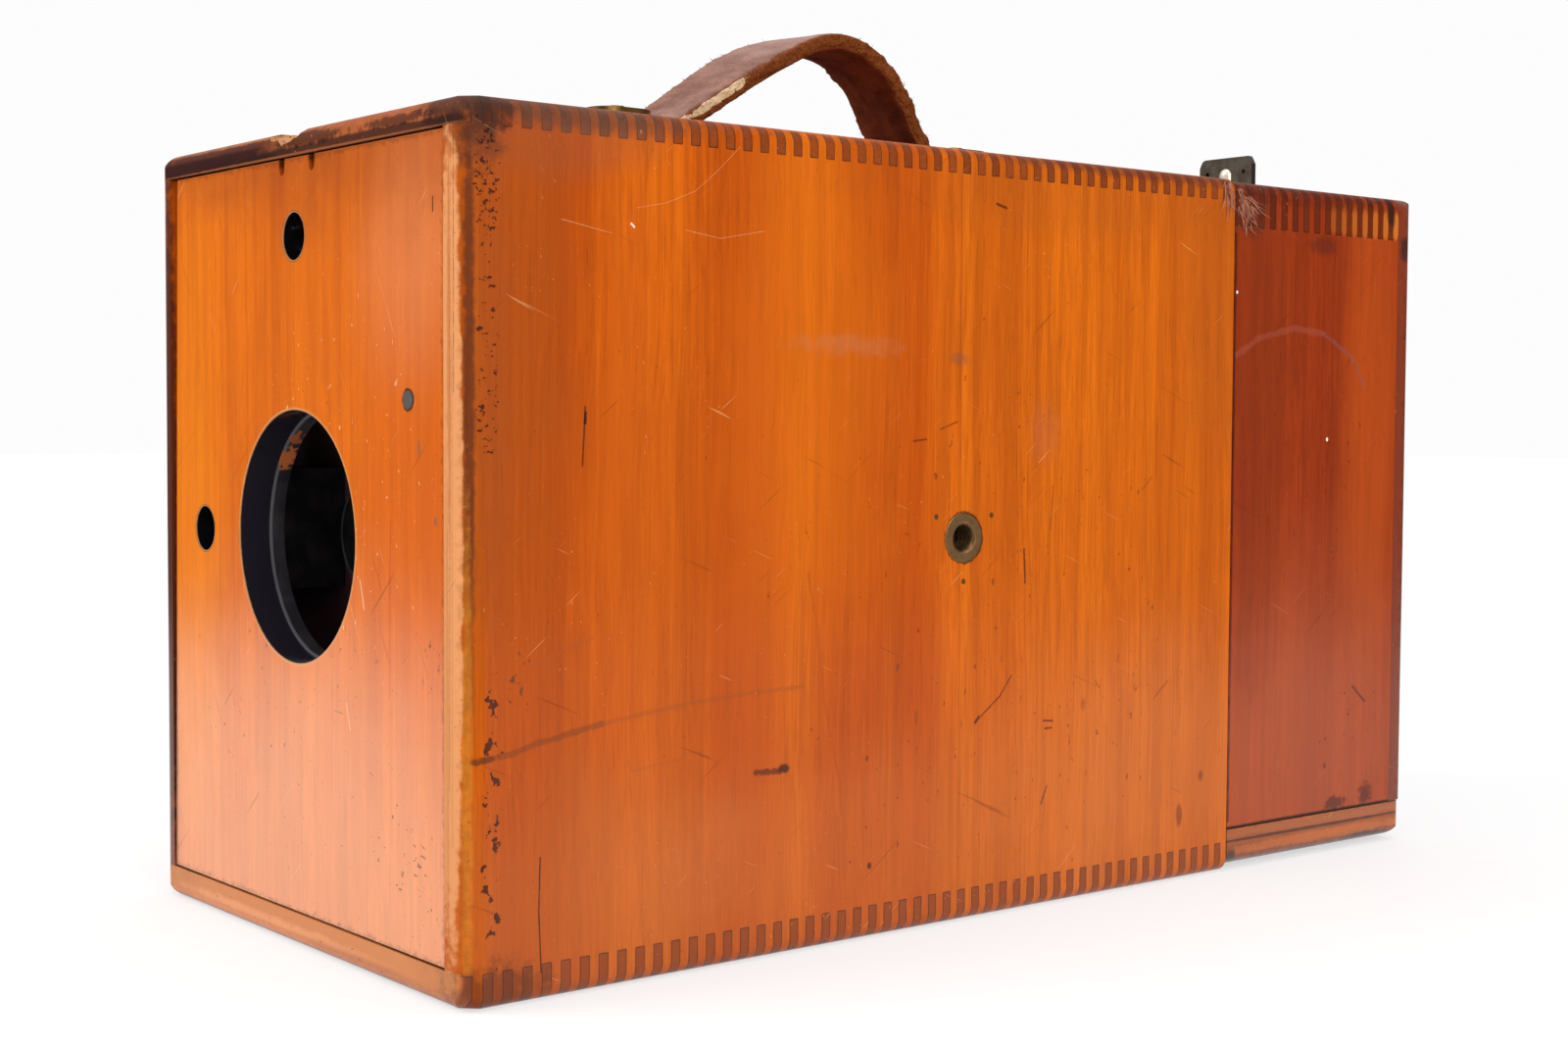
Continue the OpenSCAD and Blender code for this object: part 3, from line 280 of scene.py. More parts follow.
    def split(self, vector: Value) -> tuple[Socket, ...]:
        """The three coordinates of a vector, each as a socket."""
        made = self.node("ShaderNodeSeparateXYZ")
        self.feed(made.inputs[0], vector)
        return tuple(made.outputs)


SOCKETS = {1: "NodeSocketFloat", 3: "NodeSocketVector", 4: "NodeSocketColor"}


class GroupMaker:
    """One shader node group with named inputs and outputs, while it is built."""

    def __init__(self, name: str, inputs: dict[str, Value], outputs: Sequence[str]) -> None:
        """Starts the group.

        Args:
            name: The group's name.
            inputs: Default of each input, whose length tells its type.
            outputs: Names of the outputs, all of them numbers.
        """
        self.tree = bpy.data.node_groups.new(name, "ShaderNodeTree")
        self.graph = Graph(self.tree)
        for label, value in inputs.items():
            size = len(value) if isinstance(value, tuple) else 1
            made = self.tree.interface.new_socket(label, in_out="INPUT", socket_type=SOCKETS[size])
            made.default_value = value
        for label in outputs:
            self.tree.interface.new_socket(label, in_out="OUTPUT", socket_type=SOCKETS[1])
        self.given = self.graph.node("NodeGroupInput").outputs
        self.result = self.graph.node("NodeGroupOutput").inputs

    def finish(self, **values: Value) -> Tree:
        """Feeds the outputs by name and returns the finished tree."""
        for name, value in values.items():
            self.graph.feed(self.result[name.replace("_", " ").title()], value)
        return self.tree


@lru_cache(maxsize=None)
def grain_group() -> Tree:
    """Wood grain: noise stretched along the grain at four widths.

    Fibre, streak and figure are noise of about 0.5, 3 and 20 mm across the
    grain. Rings are thin lines where a sine of the distance along the ring
    direction, bent by the broad noise, is highest. Pores are peaks of fine
    noise.

    Returns:
        The group's tree.
    """
    maker = GroupMaker(
        "wood grain",
        {"Position": (0.0, 0.0, 0.0), "Stretch": (1.0, 1.0, 0.03), "Ring Direction": (0.3, 1.0, 0.0),
         "Ring Gap": 4.0, "Seed": 0.0},
        ("Fibre", "Streak", "Rings", "Pores", "Figure"),
    )
    g, given = maker.graph, maker.given
    place = given["Position"]
    shift = g.vec("SCALE", (17.3, 31.7, 11.1), scale=given["Seed"])
    bend = g.rise(g.noise(place, 0.011, 2.0), 5.0, -2.5)
    shift = g.vec("ADD", shift, g.vec("SCALE", (1.0, 1.0, 1.0), scale=bend))
    stretched = g.vec("ADD", g.vec("MULTIPLY", place, given["Stretch"]), shift)
    figure = g.noise(stretched, 0.045, 3.0, 0.55)
    along = g.calc("DIVIDE", g.vec("DOT_PRODUCT", place, given["Ring Direction"]), given["Ring Gap"])
    warp = g.times(g.noise(stretched, 0.055, 2.0), 11.0)
    wave = g.calc("SINE", g.times(g.calc("ADD", along, warp), math.tau))
    lifted = g.rise(wave, 0.5, 0.5)
    shown = g.step(g.noise(stretched, 0.09, 1.0), 0.42, 0.62)
    return maker.finish(
        fibre=g.noise(stretched, 2.1, 4.0, 0.7),
        streak=g.noise(stretched, 0.33, 3.0, 0.6),
        rings=g.times(g.calc("POWER", lifted, 7.0), shown),
        pores=g.step(g.noise(stretched, 3.4, 1.0), 0.62, 0.76),
        figure=figure,
    )


@lru_cache(maxsize=None)
def patch_group() -> Tree:
    """A ragged oval region: 1 where the distance over the radii is below 1.

    Returns:
        The group's tree.
    """
    maker = GroupMaker(
        "patch",
        {"Position": (0.0, 0.0, 0.0), "Centre": (0.0, 0.0, 0.0), "Radii": (1.0, 1.0, 1.0),
         "Torn": 0.0, "Ragged": 0.5, "Soft": 0.3},
        ("Mask",),
    )
    g, given = maker.graph, maker.given
    place = given["Position"]
    away = g.vec("SUBTRACT", place, given["Centre"])
    reach = g.vec("LENGTH", g.vec("DIVIDE", away, given["Radii"]))
    ragged = g.rise(given["Torn"], given["Ragged"], reach)
    high = g.calc("ADD", 1.0, given["Soft"])
    low = g.calc("SUBTRACT", 1.0, given["Soft"])
    return maker.finish(mask=g.step(ragged, high, low))


@lru_cache(maxsize=None)
def stroke_group() -> Tree:
    """A straight mark: 1 where the distance to a segment is below its width.

    Returns:
        The group's tree.
    """
    maker = GroupMaker(
        "stroke",
        {"Position": (0.0, 0.0, 0.0), "Start": (0.0, 0.0, 0.0), "Line": (1.0, 0.0, 0.0),
         "Square": 1.0, "Width": 0.5, "Torn": 0.0, "Ragged": 0.4},
        ("Mask",),
    )
    g, given = maker.graph, maker.given
    place = given["Position"]
    away = g.vec("SUBTRACT", place, given["Start"])
    share = g.calc("DIVIDE", g.vec("DOT_PRODUCT", away, given["Line"]), given["Square"], clamp=True)
    gap = g.vec("LENGTH", g.vec("SUBTRACT", away, g.vec("SCALE", given["Line"], scale=share)))
    ragged = g.rise(given["Torn"], given["Ragged"], g.calc("DIVIDE", gap, given["Width"]))
    return maker.finish(mask=g.step(ragged, 1.0, 0.45))


@lru_cache(maxsize=None)
def edge_group() -> Tree:
    """Wear near a box's edges: the middle of the three distances to its sides.

    Returns:
        The group's tree.
    """
    maker = GroupMaker(
        "rubbed edges",
        {"Position": (0.0, 0.0, 0.0), "Low": (-1.0, -1.0, -1.0), "High": (1.0, 1.0, 1.0), "Reach": 1.5},
        ("Rubbed", "Grime"),
    )
    g, given = maker.graph, maker.given
    place = given["Position"]
    near = g.split(g.vec("MINIMUM", g.vec("SUBTRACT", place, given["Low"]),
                         g.vec("SUBTRACT", given["High"], place)))
    least = g.calc("MINIMUM", near[0], near[1])
    most = g.calc("MAXIMUM", near[0], near[1])
    middle = g.calc("MAXIMUM", least, g.calc("MINIMUM", most, near[2]))
    share = g.calc("DIVIDE", middle, given["Reach"])
    torn = g.times(g.calc("SUBTRACT", g.noise(place, 0.55, 4.0, 0.65), 0.5), 2.6)
    return maker.finish(
        rubbed=g.step(g.calc("ADD", share, torn), 1.0, 0.2),
        grime=g.step(g.rise(torn, 1.4, g.times(share, 0.33)), 1.1, 0.1),
    )


@lru_cache(maxsize=None)
def scuff_group() -> Tree:
    """Fine scratches in four directions, and specks.

    Each direction flattens the position along one line to about a 30th and keeps
    the peaks of noise there, inside broad random regions.

    Returns:
        The group's tree.
    """
    maker = GroupMaker("scuffs", {"Position": (0.0, 0.0, 0.0), "Seed": 0.0}, ("Scratches", "Specks"))
    g, given = maker.graph, maker.given
    place = g.vec("ADD", given["Position"], g.vec("SCALE", (7.7, 3.1, 5.9), scale=given["Seed"]))
    total: Value = 0.0
    for line in ((0.0, 0.78, 0.62), (0.0, 0.92, -0.39), (0.74, 0.0, 0.67), (0.5, 0.0, -0.87)):
        share = g.times(g.vec("DOT_PRODUCT", place, line), -0.965)
        squeezed = g.vec("ADD", place, g.vec("SCALE", line, scale=share))
        total = g.calc("MAXIMUM", total, g.step(g.noise(squeezed, 1.5, 1.0), 0.757, 0.8))
    region = g.step(g.noise(place, 0.035, 2.0), 0.4, 0.6)
    specks = g.step(g.noise(place, 0.9, 2.0, 0.6), 0.735, 0.78)
    return maker.finish(scratches=g.times(total, region), specks=specks)


@lru_cache(maxsize=None)
def finger_group() -> Tree:
    """Glue lines of finger joints along Y, and one random shade for each finger.

    Y over half the pitch gives a count. Its whole part names the finger, and
    the nearer of its two ends is the distance to a glue line.

    Returns:
        The group's tree.
    """
    maker = GroupMaker(
        "finger joints",
        {"Position": (0.0, 0.0, 0.0), "Start": 0.0, "Half Pitch": 2.1, "Level": 160.0, "Upward": 1.0},
        ("Line", "Shade", "Band"),
    )
    g, given = maker.graph, maker.given
    place = given["Position"]
    _, y, z = g.split(place)
    count = g.calc("DIVIDE", g.calc("SUBTRACT", y, given["Start"]), given["Half Pitch"])
    part = g.calc("FRACT", count)
    near = g.times(g.calc("MINIMUM", part, g.calc("SUBTRACT", 1.0, part)), given["Half Pitch"])
    above = g.times(g.calc("SUBTRACT", z, given["Level"]), given["Upward"])
    band = g.step(above, -0.1, 0.1)
    uneven = g.noise(place, 0.5, 2.0)
    width = g.rise(uneven, 0.3, 0.04)
    upright = g.times(g.step(near, width, 0.02), band)
    pair = g.calc("FRACT", g.times(count, 0.5))
    other = g.calc("LESS_THAN", pair, 0.5)
    level = g.times(g.step(g.calc("ABSOLUTE", above), width, 0.02), other)
    white = g.node("ShaderNodeTexWhiteNoise", noise_dimensions="1D")
    g.feed(white.inputs["W"], g.calc("FLOOR", count))
    return maker.finish(line=g.calc("MAXIMUM", upright, level), shade=white.outputs["Value"], band=band)


# Finishes


@dataclass(frozen=True)
class Patch:
    """A ragged oval of another colour.

    Lengths are millimetres, grain is the cells for each millimetre of the noise
    that tears the outline, and depth is in tenths of a millimetre.
    """

    centre: Point
    radii: Point
    colour: str
    strength: float = 1.0
    ragged: float = 0.4
    grain: float = 0.25
    soft: float = 0.3
    depth: float = 0.0


@dataclass(frozen=True)
class Stroke:
    """A scratch, crack or smear along a line of points. Lengths are millimetres."""

    points: tuple[Point, ...]
    width: float
    colour: str
    strength: float = 0.8
    ragged: float = 0.5
    grain: float = 1.2


@dataclass(frozen=True)
class Flecks:
    """Small chips scattered over an oval region: peaks of noise above a level.

    Lengths are millimetres, size is the noise's cells for each millimetre, and
    squeeze scales the position for it.
    """

    centre: Point
    radii: Point
    colour: str
    strength: float
    size: float
    squeeze: Point
    level: float


@dataclass(frozen=True)
class Face:
    """A flat face that carries marks, square to X or Y. Lengths are millimetres."""

    axis: int
    level: float
    depth: float = 9.0

    def triple(self, across: float, first: float, up: float) -> Point:
        """Orders a number across the face and two along it as X, Y and Z."""
        return (first, across, up) if self.axis else (across, first, up)

    def spots(self, kind: type, rows: Sequence[tuple]) -> tuple:
        """Makes oval marks on the face.

        Args:
            kind: Patch or Flecks.
            rows: Place and half size along the face, then the mark's other values.

        Returns:
            The marks.
        """
        return tuple(
            kind(self.triple(self.level, first, up), self.triple(self.depth, wide, high), *rest)
            for first, up, wide, high, *rest in rows
        )

    def patches(self, *rows: tuple) -> tuple[Patch, ...]:
        """Patches on the face, from rows as spots takes them."""
        return self.spots(Patch, rows)

    def flecks(self, *rows: tuple) -> tuple[Flecks, ...]:
        """Flecks on the face, from rows as spots takes them."""
        return self.spots(Flecks, rows)

    def strokes(self, *rows: tuple) -> tuple[Stroke, ...]:
        """Makes strokes on the face.

        Args:
            *rows: Points along the face, then the stroke's other values.

        Returns:
            The strokes.
        """
        return tuple(
            Stroke(tuple(self.triple(self.level, first, up) for first, up in points), *rest)
            for points, *rest in rows
        )


@dataclass(frozen=True)
class Seam:
    """A glue line across a board, beyond which its wood has another tint."""

    axis: int
    place: float
    tint: str
    strength: float = 0.4


@dataclass(frozen=True)
class Fingers:
    """Where a board's finger joints lie.

    Start is the first glue line's Y and level is the Z of the joints' flat ends.
    Upward is 1 if the fingers lie above it, or -1 below. Lengths are millimetres.
    """

    start: float
    half_pitch: float
    level: float
    upward: float


@dataclass(frozen=True)
class Edges:
    """Rubbed edges of the box that a board belongs to. Lengths are millimetres."""

    low: Point
    high: Point
    reach: float
    bare: str
    grime: str
    rubbed: float
    dirty: float


class Grain(Enum):
    """How positions are stretched, by the axis that the grain follows."""

    UPRIGHT = (1.0, 1.0, 0.03)
    ACROSS = (0.03, 1.0, 1.0)
    ALONG = (1.0, 0.03, 1.0)


def principled(name: str) -> tuple[Material, Graph, Node]:
    """A new material with one Principled shader.

    Args:
        name: The material's name.

    Returns:
        The material, its graph and the shader's node.
    """
    made = bpy.data.materials.new(name)
    made.use_nodes = True
    graph = Graph(made.node_tree)
    shader = made.node_tree.nodes["Principled BSDF"]
    return made, graph, shader


def lay_flecks(g: Graph, place: Value, colour: Value, flecks: Sequence[Flecks]) -> Value:
    """Lays flecks over a colour: peaks of noise inside soft ovals.

    Args:
        g: The material's graph.
        place: Position in millimetres.
        colour: The colour so far.
        flecks: Regions of flecks.

    Returns:
        The new colour.
    """
    for mark in flecks:
        region = g.use(
            patch_group(), position=place, centre=mark.centre, radii=mark.radii,
            torn=0.0, ragged=0.0, soft=0.5,
        ).outputs["Mask"]
        peaks = g.noise(g.vec("MULTIPLY", place, mark.squeeze), mark.size, 3.0, 0.6)
        level = g.rise(region, mark.level - 1.0, 1.0)
        mask = g.step(g.calc("SUBTRACT", peaks, level), 0.0, 0.03)
        colour = g.lay(colour, mark.colour, mask, mark.strength)
    return colour


def lay_marks(
    g: Graph, place: Value, colour: Value, height: Value,
    patches: Sequence[Patch], strokes: Sequence[Stroke] = (),
) -> tuple[Value, Value]:
    """Lays patches and strokes over a colour and a height.

    Args:
        g: The material's graph.
        place: Position in millimetres.
        colour: The colour so far.
        height: The height so far, in tenths of a millimetre.
        patches: Regions to lay first.
        strokes: Lines to lay over them.

    Returns:
        The new colour and height.
    """
    for patch in patches:
        mask = g.use(
            patch_group(), position=place, centre=patch.centre, radii=patch.radii,
            torn=g.swing(place, patch.grain), ragged=patch.ragged, soft=patch.soft,
        ).outputs["Mask"]
        colour = g.lay(colour, patch.colour, mask, patch.strength)
        if patch.depth:
            height = g.rise(mask, -patch.depth, height)
    for stroke in strokes:
        mask: Value = 0.0
        for start, end in zip(stroke.points, stroke.points[1:]):
            line = Vector(end) - Vector(start)
            piece = g.use(
                stroke_group(), position=place, start=start, line=tuple(line),
                square=line.length_squared, width=stroke.width,
                torn=g.swing(place, stroke.grain), ragged=stroke.ragged,
            ).outputs["Mask"]
            mask = g.calc("MAXIMUM", mask, piece)
        colour = g.lay(colour, stroke.colour, mask, stroke.strength)
    return colour, height


@dataclass(frozen=True)
class WoodFinish:
    """Varnished or bare wood with grain, marks, joints and rubbed edges.

    The coat ends above the Z of dull_above and in front of the Y of dull_before.
    Bore linings and painted rim highlights go last, over all scratches, as nothing reaches into a bore.
    """

    name: str
    pale: str
    middle: str
    dark: str
    grain: Grain = Grain.UPRIGHT
    ring_direction: Point = (0.3, 1.0, 0.0)
    ring_gap: float = 5.0
    ring_strength: float = 0.3
    streaks: float = 0.3
    seed: float = 0.0
    coat: float = 0.45
    coat_ior: float = 1.5
    roughness: float = 0.42
    specular: float = 0.2
    scuffed: str = "E8B27A"
    scuffing: float = 0.35
    nicks: float = 0.0
    dull_above: float = 900.0
    dull_before: float = -900.0
    end_grain: Optional[str] = None
    tint_fingers: bool = False
    patches: tuple[Patch, ...] = ()
    strokes: tuple[Stroke, ...] = ()
    linings_and_rim_highlights: tuple[Patch, ...] = ()
    flecks: tuple[Flecks, ...] = ()
    seams: tuple[Seam, ...] = ()
    fingers: tuple[Fingers, ...] = ()
    edges: Optional[Edges] = None

    def material(self) -> Material:
        """Builds the material.

        Returns:
            A material of one Principled shader.
        """
        made, g, shader = principled(self.name)
        place = g.position()
        grain = g.use(
            grain_group(), position=place, stretch=self.grain.value, ring_direction=self.ring_direction,
            ring_gap=self.ring_gap, seed=self.seed,
        ).outputs
        figure = g.step(grain["Figure"], 0.38, 0.62)
        colour = g.blend(figure, tone(self.middle), tone(self.pale))
        for seam in self.seams:
            beyond = g.calc("GREATER_THAN", g.split(place)[seam.axis], seam.place)
            colour = g.lay(colour, seam.tint, beyond, seam.strength)
        streak = g.step(grain["Streak"], 0.62, 0.36)
        colour = g.lay(colour, self.dark, streak, self.streaks)
        colour = g.lay(colour, self.dark, grain["Rings"], self.ring_strength)
        fibre = g.step(grain["Fibre"], 0.25, 0.75)
        colour = g.blend(g.rise(fibre, -0.36, 0.36), colour, tone(self.dark))
        colour = g.lay(colour, self.dark, grain["Pores"], 0.3)
        height: Value = g.rise(grain["Pores"], -0.5, g.times(fibre, 0.12))
        if self.end_grain:
            normal = g.split(g.node("ShaderNodeTexCoord").outputs["Normal"])[0]
            facing = g.step(g.calc("ABSOLUTE", normal), 0.45, 0.75)
            spots = g.noise(place, 2.6, 2.0, 0.6)
            speckle = g.times(g.step(spots, 0.35, 0.7), 0.45)
            ends = g.blend(speckle, tone(self.end_grain), tone(self.dark))
            colour = g.blend(facing, colour, ends)
        for band in self.fingers:
            marks = g.use(
                finger_group(), position=place, start=band.start, half_pitch=band.half_pitch,
                level=band.level, upward=band.upward,
            ).outputs
            if self.tint_fingers:
                shade = g.times(g.times(marks["Shade"], marks["Band"]), 0.5)
                colour = g.blend(shade, colour, tone(self.dark))
            colour = g.lay(colour, "200D08", marks["Line"], 0.8)
            height = g.rise(marks["Line"], -0.6, height)
        colour, height = lay_marks(g, place, colour, height, self.patches)
        if self.edges:
            box = self.edges
            worn = g.use(edge_group(), position=place, low=box.low, high=box.high, reach=box.reach).outputs
            colour = g.lay(colour, box.grime, worn["Grime"], box.dirty)
            colour = g.lay(colour, box.bare, worn["Rubbed"], box.rubbed)
            height = g.rise(worn["Rubbed"], -0.5, height)
        colour = lay_flecks(g, place, colour, self.flecks)
        colour, height = lay_marks(g, place, colour, height, (), self.strokes)
        scuffs = g.use(scuff_group(), position=place, seed=self.seed).outputs
        colour = g.lay(colour, self.scuffed, scuffs["Scratches"], self.scuffing)
        colour = g.lay(colour, self.dark, scuffs["Specks"], 0.35)
        if self.nicks:
            wider = g.vec("SCALE", place, scale=0.7)
            cuts = g.use(scuff_group(), position=wider, seed=self.seed + 5).outputs
            colour = g.lay(colour, "5A2208", cuts["Scratches"], self.nicks)
        colour, height = lay_marks(g, place, colour, height, self.linings_and_rim_highlights)
        height = g.rise(scuffs["Scratches"], -0.35, height)
        uneven = g.noise(place, 0.12, 3.0, 0.6)
        rough = g.rise(uneven, 0.25, self.roughness - 0.12)
        rough = g.calc("MULTIPLY_ADD", scuffs["Scratches"], 0.2, rough, clamp=True)
        g.finish(shader, colour, rough, height, 0.55, 0.0001)
        shader.inputs["Specular IOR Level"].default_value = self.specular
        polished = g.times(g.step(g.split(place)[2], self.dull_above + 2.0, self.dull_above),
                          g.step(g.split(place)[1], self.dull_before, self.dull_before + 2.0))
        g.feed(shader.inputs["Coat Weight"], g.times(polished, self.coat))
        shader.inputs["Coat Roughness"].default_value = 0.16
        shader.inputs["Coat IOR"].default_value = self.coat_ior
        return made


@dataclass(frozen=True)
class MetalFinish:
    """Bare metal with a patina that thins where it is handled."""

    name: str
    bright: str
    patina: str
    spots: str
    tarnish: float = 0.6
    roughness: float = 0.38
    metallic: float = 1.0
    patches: tuple[Patch, ...] = ()

    def material(self) -> Material:
        """Builds the material from three layers of noise: cloud, spots and fine lines.

        Returns:
            A material of one Principled shader.
        """
        made, g, shader = principled(self.name)
        place = g.position()
        cloud = g.step(g.noise(place, 0.35, 4.0, 0.6), 0.3, 0.72)
        spots = g.step(g.noise(place, 1.9, 3.0, 0.7), 0.58, 0.72)
        lines = g.noise(g.vec("MULTIPLY", place, (6.0, 0.6, 6.0)), 1.0, 2.0)
        colour = g.blend(g.times(cloud, self.tarnish), tone(self.bright), tone(self.patina))
        colour = g.lay(colour, self.spots, spots, 0.7)
        height = g.rise(lines, 0.25, g.times(spots, -0.4))
        colour, height = lay_marks(g, place, colour, height, self.patches)
        rough = g.calc("MULTIPLY_ADD", cloud, 0.22, self.roughness - 0.08, clamp=True)
        g.finish(shader, colour, rough, height, 0.5, 0.00008)
        shader.inputs["Metallic"].default_value = self.metallic
        return made


@dataclass(frozen=True)
class PaintFinish:
    """Dull paint or stain, dusty and chipped to what lies under it."""

    name: str
    colour: str
    worn: str
    dust: str = "6A625C"
    dusting: float = 0.1
    roughness: float = 0.55
    patches: tuple[Patch, ...] = ()

    def material(self) -> Material:
        """Builds the material from chips, dust and a fine surface grain.

        Returns:
            A material of one Principled shader.
        """
        made, g, shader = principled(self.name)
        place = g.position()
        cloud = g.noise(place, 0.16, 3.0, 0.6)
        chips = g.step(g.noise(place, 0.75, 4.0, 0.7), 0.7, 0.76)
        fine = g.noise(place, 5.0, 2.0, 0.6)
        colour = g.lay(tone(self.colour), self.dust, g.step(cloud, 0.35, 0.75), self.dusting)
        colour = g.lay(colour, self.worn, chips, 0.5)
        height = g.rise(fine, 0.3, g.times(chips, -0.5))
        colour, height = lay_marks(g, place, colour, height, self.patches)
        rough = g.calc("MULTIPLY_ADD", cloud, 0.25, self.roughness - 0.12, clamp=True)
        g.finish(shader, colour, rough, height, 0.4, 0.0001)
        shader.inputs["Specular IOR Level"].default_value = 0.35
        return made


@dataclass(frozen=True)
class GlassFinish:
    """Old glass, clear or ground, with a film of dust."""

    name: str
    tint: str
    roughness: float
    transmission: float

    def material(self) -> Material:
        """Builds the material: dust clouds change only the roughness and the tint.

        Returns:
            A material of one Principled shader.
        """
        made, g, shader = principled(self.name)
        place = g.position()
        dust = g.step(g.noise(place, 0.5, 4.0, 0.65), 0.4, 0.8)
        g.feed(shader.inputs["Base Color"], g.blend(g.times(dust, 0.3), tone(self.tint), tone("B9B4A8")))
        g.feed(shader.inputs["Roughness"], g.rise(dust, 0.12, self.roughness))
        shader.inputs["Transmission Weight"].default_value = self.transmission
        shader.inputs["IOR"].default_value = 1.52
        return made


@dataclass(frozen=True)
class LeatherFinish:
    """Old strap leather: a smooth worn face, a fleshy underside and torn edges.

    The piece carries three attributes. under is 1 on the flesh side, edge is 1
    at the cut edges, and torn is 1 where the edge is split open.
    """

    name: str = "strap leather"
    face: str = "6E3E2C"
    face_pale: str = "8C5C4A"
    flesh: str = "7A3A1E"
    flesh_dark: str = "4C2214"
    fibre: str = "9A5424"
    raw: str = "D8BA94"
    painted_sheen: str = "B4948A"

    def material(self) -> Material:
        """Builds the material from the piece's attributes and three sizes of noise.

        Returns:
            A material of one Principled shader.
        """
        made, g, shader = principled(self.name)
        place = g.position()
        under, edge, torn = (
            g.node("ShaderNodeAttribute", attribute_name=label).outputs["Fac"]
            for label in ("under", "edge", "torn")
        )
        broad = g.noise(place, 0.12, 4.0, 0.65)
        fine = g.noise(place, 1.6, 4.0, 0.7)
        fuzz = g.noise(g.vec("MULTIPLY", place, (1.0, 0.5, 1.0)), 4.0, 3.0, 0.7)
        cells = g.node("ShaderNodeTexVoronoi", feature="DISTANCE_TO_EDGE")
        g.feed(cells.inputs["Vector"], place)
        cells.inputs["Scale"].default_value = 0.8
        cracks = g.step(cells.outputs["Distance"], 0.1, 0.02)
        face = g.blend(g.step(broad, 0.38, 0.66), tone(self.face), tone(self.face_pale))
        lengthwise = g.noise(g.vec("MULTIPLY", place, (1.0, 0.12, 0.3)), 0.55, 3.0, 0.6)
        face = g.blend(g.times(g.step(lengthwise, 0.5, 0.7), 0.45), face, tone("5B3427"))
        face = g.blend(g.times(g.step(fine, 0.5, 0.75), 0.4), face, tone("4E2C20"))
        face = g.lay(face, "4A281C", cracks, 0.35)
        # Painted sheen: the face is lightened where it faces upwards, for light caught along the crown
        upward = g.split(g.node("ShaderNodeNewGeometry").outputs["Normal"])[2]
        painted_sheen = g.times(g.step(upward, 0.74, 0.96), g.rise(broad, 0.8, 0.15))
        face = g.blend(painted_sheen, face, tone(self.painted_sheen))
        flesh = g.blend(g.step(broad, 0.35, 0.7), tone(self.flesh), tone(self.flesh_dark))
        flesh = g.blend(g.times(g.step(fuzz, 0.55, 0.8), 0.5), flesh, tone("7A4026"))
        colour = g.blend(under, face, flesh)
        cut = g.blend(g.step(fuzz, 0.35, 0.7), tone("5A2C12"), tone(self.fibre))
        colour = g.blend(g.step(g.rise(fuzz, 0.5, edge), 0.75, 1.05), colour, cut)
        colour = g.blend(g.step(g.rise(fine, 0.5, torn), 0.66, 0.8), colour, tone(self.raw))
        rough = g.rise(g.calc("MAXIMUM", under, edge), 0.3, g.rise(broad, 0.2, 0.42))
        height = g.rise(fuzz, g.rise(g.calc("MAXIMUM", under, edge), 1.6, 0.2),
                        g.times(cracks, -0.5))
        g.finish(shader, colour, rough, height, 0.8, 0.00025)
        shader.inputs["Specular IOR Level"].default_value = 0.08
        return made


# Meshes


def value_noise(points: Array, scale: float, seed: int) -> Array:
    """Smooth random values from -1 to 1.

    Each whole-number cell corner gets a value from the sine of a mix of its
    three numbers, and a point takes the smooth blend of its eight corners.

    Args:
        points: Positions, one row each.
        scale: Cells for each unit of length.
        seed: Another seed gives another pattern.

    Returns:
        One value for each row.
    """
    place = points * scale + seed * 13.7
    cell = np.floor(place)
    part = place - cell
    part = part * part * (3 - 2 * part)
    total = np.zeros(len(points))
    for corner in np.ndindex(2, 2, 2):
        offset = np.array(corner)
        key = (cell + offset) @ np.array([127.1, 311.7, 74.7])
        value = np.sin(key) * 43758.5453
        weight = np.prod(np.where(offset == 1, part, 1 - part), axis=1)
        total += weight * (2 * (value - np.floor(value)) - 1)
    return total


def unit(rows: Array) -> Array:
    """Each row scaled to a length of 1."""
    return rows / np.linalg.norm(rows, axis=1)[:, None]


def squared(wave: Array, power: float) -> Array:
    """A sine or cosine raised to a power with its sign kept, which squares a circle off."""
    return np.sign(wave) * np.abs(wave) ** power


def new_object(name: str, data: bpy.types.ID) -> bpy.types.Object:
    """Makes an object of a mesh, a lamp or a camera and puts it into the scene.

    Args:
        name: The object's name.
        data: What it shows.

    Returns:
        The object.
    """
    made = bpy.data.objects.new(name, data)
    bpy.context.scene.collection.objects.link(made)
    return made


def finished_mesh(
    name: str, vertices: Array, faces: Union[Array, list], material: Material,
    attributes: Optional[dict[str, Array]] = None, smooth: bool = True,
) -> bpy.types.Object:
    """Makes an object from arrays, with its faces outwards.

    Args:
        name: The piece's name.
        vertices: Positions in metres, one row each.
        faces: Vertex numbers, one row or list each.
        material: Its material.
        attributes: Numbers for each vertex, by name.
        smooth: Whether the faces shade smoothly.

    Returns:
        The object, at the origin.
    """
    mesh = bpy.data.meshes.new(name)
    mesh.from_pydata(vertices.tolist(), [], faces if isinstance(faces, list) else faces.tolist())
    for label, values in (attributes or {}).items():
        layer = mesh.attributes.new(label, "FLOAT", "POINT")
        layer.data.foreach_set("value", np.ascontiguousarray(values, dtype=np.float32))
    tidy = bmesh.new()
    tidy.from_mesh(mesh)
    bmesh.ops.recalc_face_normals(tidy, faces=tidy.faces)
    tidy.to_mesh(mesh)
    tidy.free()
    mesh.polygons.foreach_set("use_smooth", [smooth] * len(mesh.polygons))
    mesh.materials.append(material)
    mesh.update()
    return new_object(name, mesh)


